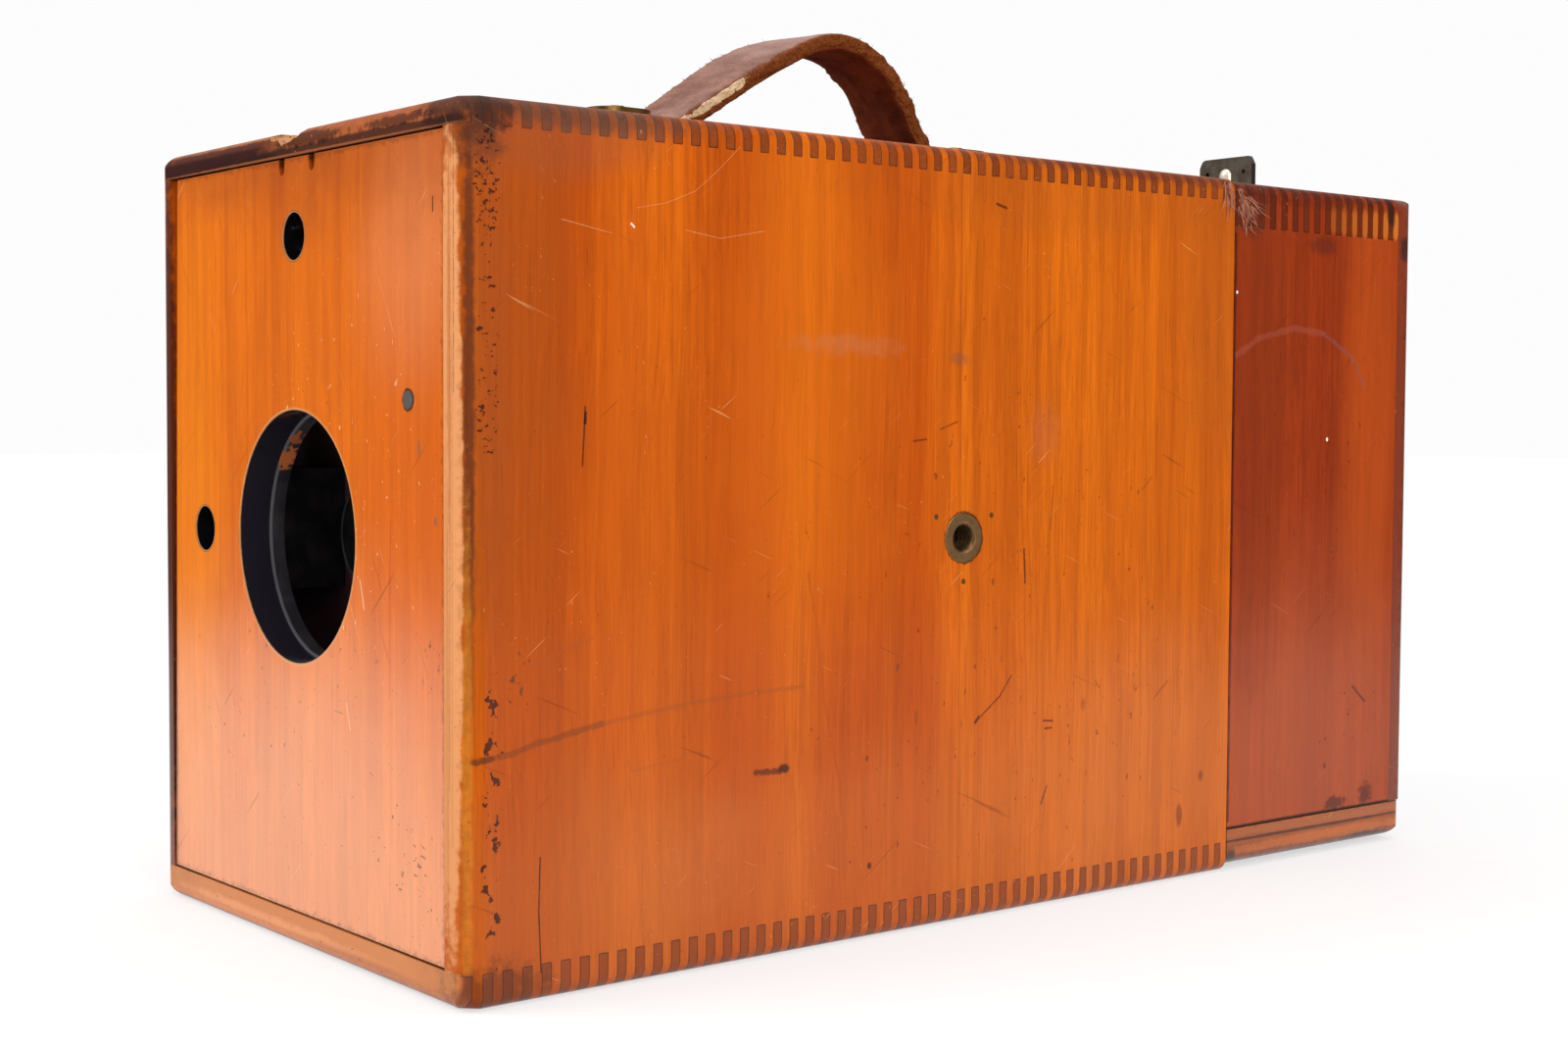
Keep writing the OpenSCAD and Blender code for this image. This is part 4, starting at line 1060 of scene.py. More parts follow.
def grid_faces(rows: int, columns: int, close_rows: bool, close_columns: bool) -> Array:
    """Quads of a grid of points, as vertex numbers.

    Args:
        rows: Number of rows.
        columns: Number of points in a row.
        close_rows: Whether the last row joins the first.
        close_columns: Whether each row closes on itself.

    Returns:
        Four vertex numbers for each quad.
    """
    i = np.arange(rows if close_rows else rows - 1)[:, None]
    j = np.arange(columns if close_columns else columns - 1)[None, :]
    ahead, beside = (i + 1) % rows, (j + 1) % columns
    corners = [i * columns + j, i * columns + beside, ahead * columns + beside, ahead * columns + j]
    return np.stack(corners, axis=-1).reshape(-1, 4)


def hairs(
    base: Array, aim: Array, bend: Array, width: Array, thickness: Array, steps: int = 6
) -> tuple[Array, Array]:
    """Thin bent fibres or shreds with a diamond section, each tapering to its tip.

    At a share t of its length, a hair's middle is base + t * aim + t squared *
    bend, and its section is the first one times the root of 1 - 0.985 * t.

    Args:
        base: Root of each hair.
        aim: Vector from each root along its first direction.
        bend: How far each tip is bent away.
        width: Half of each section's longer diagonal, as a vector.
        thickness: Half of its shorter diagonal, as a vector.
        steps: Number of sections.

    Returns:
        Vertices, and quads of the sides and of both ends.
    """
    t = np.linspace(0, 1, steps)[None, :, None]
    middle = base[:, None] + t * aim[:, None] + t**2 * bend[:, None]
    size = np.sqrt(1 - 0.985 * t)
    ring = np.stack([width, thickness, -width, -thickness], axis=1)
    vertices = middle[:, :, None, :] + size[..., None] * ring[:, None]
    side = grid_faces(steps, 4, False, True)
    caps = np.array([[3, 2, 1, 0], [0, 1, 2, 3]])
    caps[1] += 4 * (steps - 1)
    pattern = np.concatenate([side, caps])
    faces = (np.arange(len(base))[:, None, None] * 4 * steps + pattern).reshape(-1, 4)
    return vertices.reshape(-1, 3), faces


def dress(nodes: Sequence[str], finish: Union[WoodFinish, MetalFinish, PaintFinish, GlassFinish]) -> None:
    """Builds a finish, gives it to CAD nodes and reports them.

    Args:
        nodes: Names of the nodes.
        finish: What they are finished in.
    """
    material = finish.material()
    for name in nodes:
        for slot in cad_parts[name].material_slots:
            slot.material = material
        log.info("%s is finished in %s", name, material.name)


# Sub-assemblies


@dataclass(frozen=True)
class CasingSizes:
    """The casing's planes, in millimetres."""

    half_width: float = 66.0
    front: float = -140.0
    seam: float = 70.0
    height: float = 165.0
    inner_top: float = 159.6
    floor: float = 7.0
    half_pitch: float = 2.1
    rounding: float = 3.2
    chip: Point = (-3.5, -139.0, 166.4)
    chip_radii: Point = (7.8, 13.0, 4.4)
    chip_reach: Point = (11.5, 19.0, 6.0)


@dataclass
class Casing:
    """The four finger-jointed boards, their inner blocks and the base."""

    sizes: CasingSizes = field(default_factory=CasingSizes)

    def side_marks(self) -> tuple[tuple[Patch, ...], tuple[Stroke, ...], tuple[Flecks, ...]]:
        """Stains, scratches and chips of the right side, and of its narrow front edge.

        Returns:
            The patches, the strokes and the flecks.
        """
        # Patches and flecks give Y, Z, the two half sizes, the colour and its strength
        x = self.sizes.half_width
        side, front = Face(0, x), Face(1, self.sizes.front)
        patches = side.patches(
            (-95, 60, 26, 60, "A84A0C", 0.3, 0.7, 0.03, 0.5),
            (-60, 120, 20, 60, "D8720E", 0.3, 0.5, 0.03, 0.6),
            (-112, 15, 40, 22, "B06434", 0.3, 0.6, 0.03, 0.6),
            (-40, 18, 60, 20, "C8723A", 0.22, 0.6, 0.03, 0.6),
            (42, 25, 40, 26, "CC7A44", 0.25, 0.6, 0.03, 0.6),
            (-132, 126, 14, 56, "8A3E12", 0.45, 0.6, 0.03, 0.6),
            (-118, 160, 22, 7, "8A4A2C", 0.4, 0.8, 0.03, 0.6),
            (63, 138, 12, 36, "9A4A12", 0.35, 0.6, 0.03, 0.6),
            (-72, 90, 6, 70, "B04A10", 0.26, 0.6, 0.03, 0.6),
            (-104, 110, 5, 60, "A8460E", 0.26, 0.6, 0.03, 0.6),
            (-126, 70, 10, 90, "96420E", 0.26, 0.6, 0.03, 0.6),
            (24, 158, 66, 9, "9A4A12", 0.3, 0.6, 0.1, 0.6),
            (-50, 122.5, 12, 1.8, "A86A48", 0.28, 1.6, 0.35, 0.6),
            (-19, 120.5, 2.6, 1.2, "7A4630", 0.45, 0.7, 0.35, 0.5),
            (7, 105, 4, 6, "A0583A", 0.25, 1.2, 0.35, 0.6),
            (-136.4, 160, 4.5, 7, "33201C", 0.7, 1.0, 0.35, 0.5),
            (-134.6, 120, 4.2, 48, "8A4A22", 0.22, 1.2, 0.35, 0.6),
            (53, 15.5, 1.0, 2.4, "6A2C12", 0.6, 0.5, 0.35, 0.4),
            (-30.5, 45.2, 0.6, 1.6, "8A3A14", 0.6, 0.5, 0.35, 0.4),
            (20, 44, 0.7, 1.4, "8A3A14", 0.5, 0.5, 0.35, 0.4),
            (-43.3, 15.4, 0.6, 0.7, "3A1A10", 0.8, 0.4, 0.35, 0.3),
            (60.4, 24, 0.8, 1.2, "6A2C12", 0.6, 0.4, 0.35, 0.4),
            (-66.2, 37.8, 1.5, 0.9, "2E140C", 0.85, 0.5, 0.8, 0.3),
            (-17.2, 82.5, 5.65, 5.65, "3E1E10", 0.75, 0.12, 0.8, 0.04),
        ) + (
            Patch((x - 2, -138.2, 112), (9, 0.9, 56), "4A2212", 0.75, 0.8, 0.35, 0.5),
            Patch((x - 3, -138.6, 40), (9, 0.8, 44), "BC7424", 0.6, 0.8, 0.35, 0.4),
            Patch((x - 3.2, -141.2, 84), (9, 2.05, 90), "D28E5A", 0.97, 0.25, 0.35, 0.1),
            Patch((x - 5.5, -140.4, 60), (1.1, 2, 44), "C07A44", 0.5, 0.8, 0.35, 0.4),
            Patch((x - 4.4, -140.4, 120), (0.7, 2, 30), "B86A34", 0.6, 0.8, 0.35, 0.4),
            Patch((x - 5, -140, 5.5), (5, 1.2, 1.6), "E8C070", 0.8, 0.8, 0.8, 0.3),
        )
        dark, pale = "54220F", "E8B488"
        strokes = side.strokes(
            (((-137.3, 45.8), (-130.1, 46.4), (-124.5, 47.9), (-119.6, 48.7), (-110.0, 50.4)),
             0.8, "6E3616", 0.55, 0.7, 0.35),
            (((-112.0, 50.1), (-104.2, 51.1), (-89.3, 52.7), (-76.1, 53.5), (-61.2, 53.9)),
             0.6, "8A4418", 0.4, 0.6, 0.35),
            (((-137.6, 45.6), (-134.0, 45.9)), 0.8, "3A1C12", 0.5, 1.0, 0.8),
            (((-2.6, 52.1), (-6.1, 47.8), (-13.4, 42.7)), 0.26, "6A2010", 0.85),
            (((-13.4, 42.7), (-12.4, 43.8)), 0.5, "5A1C10", 0.8),
            (((-73.3, 37.7), (-67.4, 37.3)), 0.8, "4A2010", 0.75, 0.9),
            (((-77.9, 160.2), (-82.7, 155.7), (-88.5, 151.0), (-95.4, 148.3), (-102.2, 146.9)),
             0.1, pale, 0.2, 1.0),
            (((-90.8, 143.4), (-82.6, 142.3), (-71.8, 144.3)), 0.1, pale, 0.25, 1.0),
            (((-119.0, 143.8), (-108.0, 141.9)), 0.1, pale, 0.3, 1.0),
            (((-113.8, 109.6), (-114.0, 105.1), (-114.4, 98.7)), 0.26, "4A1C0E", 0.8),
            (((-113.7, 108.4), (-113.8, 106.6)), 0.45, "2E120A", 0.9),
            (((-123.6, 26.8), (-123.9, 16.8), (-123.4, 5.5)), 0.22, "3A160C", 0.85),
            (((-18.7, 160.0), (-18.0, 7.5)), 0.16, "8E3C0C", 0.6, 0.4, 0.35),
            (((-8.4, 153.8), (-5.5, 153.1)), 0.4, "4A1C10", 0.85),
            (((-31.9, 103.1), (-28.3, 103.5)), 0.3, dark, 0.7),
            (((-24.2, 105.6), (-19.4, 107.2)), 0.25, dark, 0.6),
            (((0.9, 79.5), (1.3, 72.2)), 0.35, "3E1A12", 0.8, 0.9),
            (((9.8, 93.3), (9.1, 83.6)), 0.2, dark, 0.6),
            (((38.6, 91.8), (41.9, 94.7)), 0.25, "7A3A20", 0.6),
            (((7.5, 41.4), (10.3, 41.1)), 0.3, "5A1C10", 0.8),
            (((7.9, 39.6), (10.0, 39.6)), 0.3, "5A1C10", 0.8),
            (((6.9, 22.9), (8.7, 26.7)), 0.26, dark, 0.8),
            (((-103.5, 143.9), (-102.8, 143.3)), 0.25, "E6D8C8", 0.8),
            (((-60.1, 76.6), (-57.7, 65.6), (-55.5, 49.5), (-51.4, 33.1), (-50.9, 27.0)),
             0.45, "9A440F", 0.5, 0.9, 0.35),
            (((-45.4, 38.6), (-45.0, 18.2)), 0.35, "9A440F", 0.4, 0.9, 0.35),
            (((-125.9, 62.2), (-112.0, 66.8)), 0.5, "96481C", 0.35, 0.9, 0.35),
        ) + front.strokes(
            (((61.6, 152), (61.9, 96), (61.5, 40)), 0.16, "8A4A22", 0.45, 1.6, 0.8),
            (((62.6, 120), (62.5, 30)), 0.12, "7A3E1C", 0.4, 1.8, 0.8),
            (((60.9, 88), (61.0, 12)), 0.14, "9A5A2E", 0.4, 1.6, 0.8),
        ) + Face(1, front.level + 0.1).strokes(
            (((63.2, 158), (63.1, 112)), 0.2, "6A3418", 0.55, 1.4, 0.8),
        ) + side.strokes(
            (((-104.2, 43.1), (-103.1, 40.8), (-92.8, 42.0), (-90.4, 42.8)), 0.4, "96481C", 0.3, 1.0, 0.35),
        )
        flecks = side.flecks(
            (-134.8, 150, 3.6, 17, "2A1612", 0.85, 1.25, (1.0, 0.7, 1.0), 0.55),
            (-134.8, 116, 3.4, 26, "2A1612", 0.85, 0.9, (1.0, 0.6, 1.1), 0.575),
            (-134.0, 36, 3.0, 38, "2A1612", 0.85, 0.6, (1.0, 0.8, 0.8), 0.575),
            (-128, 60, 5, 12, "4A2A1A", 0.7, 0.7, (1.0, 1.0, 0.8), 0.63),
            (-10, 60, 90, 90, "6A2C12", 0.7, 0.55, (1.0, 1.0, 0.6), 0.685),
            (40, 45, 20, 40, "6A2C12", 0.6, 0.5, (1.0, 1.0, 0.5), 0.67),
        )
        return patches, strokes, flecks

    def build(self) -> None:
        """Dresses the boards, blocks, base and ledge."""
        s = self.sizes
        low, high = (-s.half_width, s.front, 0.0), (s.half_width, s.seam + 20, s.height)
        upper = Fingers(s.front, s.half_pitch, s.inner_top, 1.0)
        lower = Fingers(s.front, s.half_pitch, s.floor, -1.0)
        patches, strokes, flecks = self.side_marks()
        side = Face(0, s.half_width)
        # Painted shade: darker bands along the top edge, shared by the side and the top board
        top_edge_shade = side.patches(
            (-114, 163.8, 26, 3.3, "4E362C", 0.6, 0.7, 0.35, 0.5),
            (40, 164.6, 44, 2.3, "5A2A1A", 0.62, 0.7, 0.35, 0.4),
            (-134, 162.4, 5.0, 3.4, "2E1E1A", 0.65, 1.0, 0.35, 0.4),
        )
        foot_haze = side.patches((-133, 3.5, 9, 4.5, "3A1C12", 0.5, 1.2, 0.35, 0.5))
        right = WoodFinish(
            "right side varnish", "D06406", "B44B02", "6A2204", seed=1.0, streaks=0.22, specular=0.05,
            coat=0.3, ring_gap=3.6, ring_strength=0.18, scuffing=0.25, nicks=0.4, dull_above=160.5,
            dull_before=-136.0, fingers=(upper, lower), patches=patches + top_edge_shade + foot_haze,
            strokes=strokes, flecks=flecks,
            seams=(Seam(1, -18.3, "D87006", 0.42),),
            edges=Edges(low, high, 0.7, "B86A30", "4A2010", 0.16, 0.22),
        )
        left = WoodFinish(
            "left side varnish", "D06406", "B44B02", "6A2204", seed=4.0, fingers=(upper, lower),
            patches=(
                # Painted shade: a dark strip on the front edge stands for the shadow in the gap to the
                # front panel
                Patch((-60.6, -140.6, 84), (2.6, 2.2, 90), "2A1210", 0.85, 0.5, 0.35, 0.3),
                Patch((-66, -60, 60), (9, 60, 50), "B4540F", 0.4, 0.6, 0.03, 0.5),
            ),
            flecks=(Flecks((-66, -60, 80), (9, 90, 90), "4A1E10", 0.7, 0.6, (1.0, 1.0, 0.6), 0.68),),
            edges=Edges(low, high, 1.5, "C87E44", "3A1A12", 0.7, 0.6),
        )
        x, y, top = s.half_width, s.front, s.height
        top_board = WoodFinish(
            "top board varnish", "C4641C", "B05214", "5E2A12", grain=Grain.ACROSS,
            ring_direction=(0.0, 1.0, 0.2), seed=2.0, fingers=(upper,), end_grain="8E4218",
            tint_fingers=True, specular=0.05, coat=0.0, streaks=0.2, ring_strength=0.16,
            patches=Face(1, y - 0.4, 2.4).patches(
                (-38, top - 2.9, 36, 7, "2E1A1C", 0.78, 1.1, 0.3, 0.4),
                (38, top - 2.4, 44, 7, "A85A30", 0.9, 0.3, 0.3, 0.25),
                (30, top - 4.6, 60, 1.1, "2A1816", 0.85, 0.7, 0.35, 0.3),
                (44, top - 2.6, 14, 1.0, "2A1816", 0.7, 1.4, 0.35, 0.3),
                (8, top - 2.4, 12, 1.6, "2A1816", 0.75, 1.2, 0.35, 0.3),
            ) + (
                # Painted highlight and rubbed varnish: a pale line along the rounded top front edge
                Patch((-30, y + 0.6, top - 0.4), (50, 1.2, 0.7), "B0673A", 0.75, 0.8, 0.35, 0.3),
                Patch((60, y + 2, top - 2), (8, 5, 6), "241614", 0.75, 1.0, 0.35, 0.4),
                # Painted highlight: a thin pale line along the lower front edge of the top board
                Patch((0, y, top - 5.2), (70, 1.2, 0.25), "A8623C", 0.5, 0.7, 0.35, 0.4),
                Patch((x, -112, top - 2.5), (9, 16, 5), "6A4A3C", 0.45, 0.9, 0.2, 0.5),
            ) + top_edge_shade + foot_haze,
            edges=Edges(low, high, 0.8, "A05A2A", "3A1A0C", 0.3, 0.25),
        )
        bottom_board = WoodFinish(
            "bottom board varnish", "D87E3C", "C4682A", "8A441C", grain=Grain.ACROSS,
            ring_direction=(0.0, 1.0, 0.2), seed=3.0, fingers=(lower,), end_grain="883E16",
            tint_fingers=True, specular=0.08, coat=0.3,
            patches=(
                Patch((0, y - 0.5, 4), (80, 1.4, 9), "DC8A4E", 0.75, 0.3, 0.1, 0.3),
                # Painted highlight: a pale band along the middle of the front edge
                Patch((-10, y - 0.5, 3.6), (46, 1.4, 1.0), "E8A070", 0.5, 0.9, 0.15, 0.5),
                Patch((30, y - 0.5, 2.0), (30, 2.4, 1.6), "9A5430", 0.4, 1.0, 0.15, 0.5),
                Patch((0, y + 0.6, 0.2), (70, 1.6, 0.8), "5A2A18", 0.7, 0.5, 0.35, 0.3),
                Patch((x, -60, 0.4), (9, 90, 0.8), "3A180E", 0.6, 0.6, 0.35, 0.3),
            ) + foot_haze,
            flecks=(Flecks((0, y, 3), (66, 4, 4), "6A2C18", 0.7, 0.6, (0.5, 1.0, 1.0), 0.65),),
            edges=Edges(low, high, 0.8, "D89A6A", "5A2C1A", 0.3, 0.15),
        )
        dress(["side_board_right"], right)
        dress(["side_board_left"], left)
        dress(["top_board"], top_board)
        dress(["bottom_board"], bottom_board)
        self.break_edge()
        bare = WoodFinish(
            "bare inner wood", "D9AE7C", "C89A68", "8E6438", seed=6.0, coat=0.0, roughness=0.7, scuffing=0.1
        )
        dress(["corner_blocks", "holder_lower_plate", "guide_roller_left", "guide_roller_right"], bare)
        base = WoodFinish(
            "rear base varnish", "B86024", "A6521A", "4E1C0A", grain=Grain.ALONG,
            ring_direction=(0.2, 0.0, 1.0), ring_gap=2.2, ring_strength=0.5, seed=7.0, streaks=0.4,
            patches=side.patches(
                (110, 8.6, 40, 1.1, "A0562C", 0.7, 0.5, 0.2, 0.4),
                (105, 4.6, 40, 1.2, "C0662A", 0.6, 0.7, 0.2, 0.4),
                (100, 1.2, 60, 0.9, "2A120C", 0.85, 0.6, 0.35, 0.3),
                (71.5, 2.4, 2.0, 2.6, "2A120C", 0.8, 0.9, 0.35, 0.4),
                (124, 2.4, 8, 0.9, "2A120C", 0.8, 0.8, 0.35, 0.4),
                (100, 7.0, 60, 0.35, "3E190D", 0.85, 0.5, 0.3, 0.4),
            ),
            edges=Edges((-x, 60, 1.2), (x, 139.3, 12.0), 0.7, "B46A3A", "2E1310", 0.3, 0.5),
        )
        dress(["rear_base", "ledge_board"], base)

    def break_edge(self) -> None:
        """Breaks a chip out of the top board's front edge, in a merged copy of it.

        The tool is a ball whose radius swells with two sizes of noise, stretched
        to the chip's radii, with a ripple in its height.
        """
        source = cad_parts["top_board"]
        mesh = source.data.copy()
        mesh.transform(source.matrix_world)
        chipped = new_object("top_board_chipped", mesh)
        merged = bmesh.new()
        merged.from_mesh(mesh)
        bmesh.ops.remove_doubles(merged, verts=merged.verts, dist=1e-6)
        merged.to_mesh(mesh)
        merged.free()
        ball = bmesh.new()
        bmesh.ops.create_icosphere(ball, subdivisions=5, radius=1.0)
        tool_mesh = bpy.data.meshes.new("chip")
        ball.to_mesh(tool_mesh)
        ball.free()
        points = np.empty(len(tool_mesh.vertices) * 3)
        tool_mesh.vertices.foreach_get("co", points)
        points = points.reshape(-1, 3)
        swell = 1 + 0.2 * value_noise(points, 2.2, 3) + 0.12 * value_noise(points, 6.0, 4)
        points = points * swell[:, None] * np.array(self.sizes.chip_radii) + np.array(self.sizes.chip)
        points[:, 2] += 0.35 * value_noise(points * np.array([0.3, 1.0, 1.0]), 2.4, 9)
        tool_mesh.vertices.foreach_set("co", (points / 1000).ravel())
        tool = new_object("chip", tool_mesh)
        cutter = chipped.modifiers.new("chip", "BOOLEAN")
        cutter.object, cutter.operation, cutter.solver, cutter.use_self = tool, "DIFFERENCE", "EXACT", True
        graph = bpy.context.evaluated_depsgraph_get()
        result = bpy.data.meshes.new_from_object(chipped.evaluated_get(graph))
        chipped.modifiers.remove(cutter)
        chipped.data = result
        bpy.data.objects.remove(tool)
        self.line_chip(chipped)
        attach(chipped, "casing")
        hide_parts("top_board")
        log.info("top_board_chipped stands for the top board: %d vertices", len(result.vertices))

    def line_chip(self, board: bpy.types.Object) -> None:
        """Gives the chip's own faces bare wood, and the rest the board's varnish.

        A face is the chip's own if it lies within the chip's reach, but not on
        the board's top, front or rounded edge.

        Args:
            board: The board with the chip cut out.
        """
        raw = WoodFinish(
            "broken wood", "DCAE80", "C48E60", "7A5032", grain=Grain.ACROSS, seed=17.0, coat=0.0,
            roughness=0.8, scuffing=0.0, streaks=0.6,
        ).material()
        board.data.materials.clear()
        board.data.materials.append(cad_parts["top_board"].material_slots[0].material)
        board.data.materials.append(raw)
        count = len(board.data.polygons)
        centre, normal = np.empty(count * 3), np.empty(count * 3)
        board.data.polygons.foreach_get("center", centre)
        board.data.polygons.foreach_get("normal", normal)
        centre, normal = centre.reshape(-1, 3) * 1000, normal.reshape(-1, 3)
        s = self.sizes
        inside = np.linalg.norm((centre - np.array(s.chip)) / np.array(s.chip_reach), axis=1) < 1
        flat = (np.abs(centre[:, 2] - s.height) < 0.01) | (np.abs(centre[:, 1] - s.front) < 0.01)
        middle_y, middle_z = s.front + s.rounding, s.height - s.rounding
        from_middle = np.hypot(centre[:, 1] - middle_y, centre[:, 2] - middle_z)
        edge = np.abs(from_middle - s.rounding) < 0.05
        board.data.polygons.foreach_set("material_index", (inside & ~flat & ~edge).astype(np.int32))
        board.data.polygons.foreach_set("use_smooth", [False] * count)


@dataclass
class FrontPanel:
    """The panel with the lens opening and finder holes, and its collar."""

    front: float = -140.0
    lens_z: float = 83.4
    opening: float = 25.5
    top_finder_z: float = 143.6
    side_finder_x: float = -42.7

    def build(self) -> None:
        """Dresses panel, collar and plug."""
        y, z = self.front, self.lens_z
        up, aside = self.top_finder_z, self.side_finder_x
        front = Face(1, y)
        black, rim_highlight = "0B090C", "E8A468"
        wall, highlight_radius = self.opening + 0.3, self.opening + 0.9
        panel = WoodFinish(
            "front panel varnish", "EA7602", "DC6A04", "A04008", ring_direction=(1.0, 0.3, 0.0),
            ring_gap=7.0, ring_strength=0.26, streaks=0.3, seed=9.0, coat=0.8, coat_ior=1.6,
            specular=0.05, scuffing=0.3, nicks=0.4, scuffed="F0B888",
            patches=front.patches(
                (44, 95, 17, 60, "C4540E", 0.5, 0.5, 0.03, 0.6),
                (20, 130, 20, 24, "CC6212", 0.35, 0.5, 0.03, 0.6),
                (-50, 80, 14, 60, "F08A00", 0.35, 0.5, 0.03, 0.6),
                (48, 140, 18, 22, "DC8A5A", 0.42, 0.5, 0.03, 0.7),
                # Painted reflection: a pale pinkish veil over the lower panel stands for the floor
                # reflected in the varnish
                (6, 2, 90, 56, "EEBC94", 0.36, 0.25, 0.03, 0.6),
                (30, 162, 52, 17, "8A3A18", 0.42, 0.6, 0.1, 0.7),
                (-30, 162, 52, 10, "8A3A18", 0.3, 0.6, 0.1, 0.7),
                # Painted shade: a dark strip along the left edge stands for the shadow in the gap to the
                # left board
                (-59, 80, 1.2, 90, "2A1210", 0.6, 0.5, 0.2, 0.5),
                (-5, 158.9, 1.3, 1.9, "3A160C", 0.85, 0.5, 0.8, 0.3),
                (8.1, 158.9, 1.3, 1.9, "3A160C", 0.85, 0.5, 0.8, 0.3),
                (46.3, 110.7, 2.2, 2.2, "3A1C0E", 0.85, 0.2, 0.8, 0.08),
                (50.2, 101.8, 0.45, 1.4, "7A5A4A", 0.7, 0.3, 0.8, 0.2),
                (56.2, 88.6, 0.6, 0.8, "7A5A4A", 0.7, 0.3, 0.8, 0.2),
            ) + (
                Patch((-25.4, y, 82.4), (0.7, 0.9, 2.6), "3A1C10", 0.9, 0.7, 0.8, 0.2),
            ),
            linings_and_rim_highlights=Face(1, y, 900).patches(
                (0, z, wall, wall, "1D1B23", 1.0, 0.006, 0.8, 0.004),
                (0, up, 5.15, 5.15, black, 1.0, 0.01, 0.8, 0.01),
                (aside, z, 5.15, 5.15, black, 1.0, 0.01, 0.8, 0.01),
            ) + (
                # Painted highlights: pale rings round the lens opening and the finder holes
                Patch((0, y - 0.2, z), (highlight_radius, 2.7, highlight_radius), rim_highlight, 0.6, 0.012, 0.8, 0.004),
                Patch((0, y - 0.2, up), (5.25, 1.8, 5.25), rim_highlight, 0.6, 0.03, 0.8, 0.01),
                Patch((aside, y - 0.2, z), (5.25, 1.8, 5.25), rim_highlight, 0.6, 0.03, 0.8, 0.01),
            ),
            flecks=front.flecks(
                (54, 62, 6, 8, "5A3020", 0.7, 1.1, (1.0, 1.0, 0.7), 0.63),
                (44, 26, 18, 12, "5A3020", 0.75, 0.9, (0.6, 1.0, 1.2), 0.63),
                (50, 14, 10, 8, "4A2A1C", 0.7, 1.0, (0.8, 1.0, 0.8), 0.65),
                (0, 50, 60, 50, "8A4A2A", 0.6, 0.7, (0.7, 1.0, 0.9), 0.67),
                (20, 100, 50, 60, "F4C89A", 0.6, 0.8, (1.0, 1.0, 0.7), 0.685),
            ),
            strokes=Face(1, y + 0.3).strokes(
                (((55.4, 147.3), (55.4, 144.7)), 0.26, "3A160C", 0.85),
                (((39.4, 88.0), (38.9, 68.1), (38.8, 54.8)), 0.35, "B43A20", 0.35, 0.8),
                (((27.4, 76.3), (29.0, 70.7)), 0.2, "F4D2B0", 0.6),
                (((16.7, 50.0), (20.0, 49.8)), 0.25, "A0603C", 0.5),
                (((21.6, 51.9), (23.2, 46.9)), 0.2, "F4D2B0", 0.45),
                (((-31.7, 40.6), (-14.0, 37.0), (-0.4, 35.2)), 0.25, "C88A66", 0.35),
                (((-30.0, 158.0), (-30.2, 145.0)), 0.16, "A04A20", 0.5, 0.6),
            ),
            edges=Edges((-59.4, y - 20, 7.2), (59.4, y + 0.31, 159.3), 0.4, "B4642C", "3A1A0E", 0.4, 0.35),
        )
        dress(["front_panel"], panel)
        chips = (
            Patch((-20.5, -131.5, z + 16.5), (2.6, 2.0, 3.6), "B4622E", 0.95, 1.4, 0.8, 0.15, 1.0),
            Patch((-17.0, -131.5, z + 20.5), (2.8, 2.0, 2.2), "A05628", 0.9, 1.4, 0.8, 0.15, 1.0),
        )
        # Painted highlight: a pale grey ring at the collar's front edge inside the bore
        lip_highlight = (Patch((0, -132.8, z), (900, 0.35, 900), "6C6A70", 0.75, 0.5, 0.35, 0.4),)
        collar = PaintFinish(
            "collar black", "1F1C21", "3E3B40", dust="4E4A4C", dusting=0.4, patches=lip_highlight + chips
        )
        dress(["panel_collar"], collar)
        lead = MetalFinish("lead plug grey", "5E5A57", "4A4644", "3A3634", metallic=0.4, roughness=0.6)
        dress(["panel_plug"], lead)


@dataclass
class LensUnit:
    """Lens board, barrel, stops and the rotary shutter."""

    def build(self) -> None:
        """Dresses the lens board and all that it carries."""
        stain = PaintFinish("black stained board", "54363E", "3E2A22", dusting=0.08, roughness=0.7)
        dress(["lens_board", "film_gate", "film_platen"], stain)
        paint = PaintFinish("black metal paint", "0D0D0F", "6A543A", dusting=0.12, roughness=0.42)
        dress(["lens_barrel", "stop_knob", "top_finder_housing", "side_finder_housing"], paint)
        brass = MetalFinish("working brass", "B48A4E", "7E5C34", "3E2C1C", tarnish=0.7)
        dress(
            ["lens_flange", "lens_screws", "stop_disc", "shutter_disc", "shutter_bridge",
             "holder_upper_plate", "holder_pillars"],
            brass,
        )
        steel = MetalFinish("bright steel", "CFCBC2", "9A948A", "5A5048", tarnish=0.5, roughness=0.28)
        dress(["shutter_arbor", "trip_pivot"], steel)
        key = MetalFinish(
            "key nickel", "EDE4D2", "CFC4AE", "7A7060", tarnish=0.3, metallic=0.25, roughness=0.3
        )
        dress(["key_shaft"], key)
        blued = MetalFinish("browned steel", "6E675C", "4A4238", "2C2620", tarnish=0.8, roughness=0.45)
        dress(["shutter_spring", "trip_lever", "ratchet_pawl", "key_thumb_plate"], blued)
        clear = GlassFinish("clear glass", "EEF4F2", 0.03, 1.0)
        dress(["front_lens", "rear_lens", "top_finder_lens", "side_finder_lens"], clear)
        ground = GlassFinish("ground glass", "E8ECE6", 0.45, 0.8)
        dress(["top_finder_window", "side_finder_window"], ground)
        silver = MetalFinish("old silvering", "D8DCDC", "A8A8A2", "6E6A60", tarnish=0.35, roughness=0.12)
        dress(["top_finder_mirror", "side_finder_mirror"], silver)


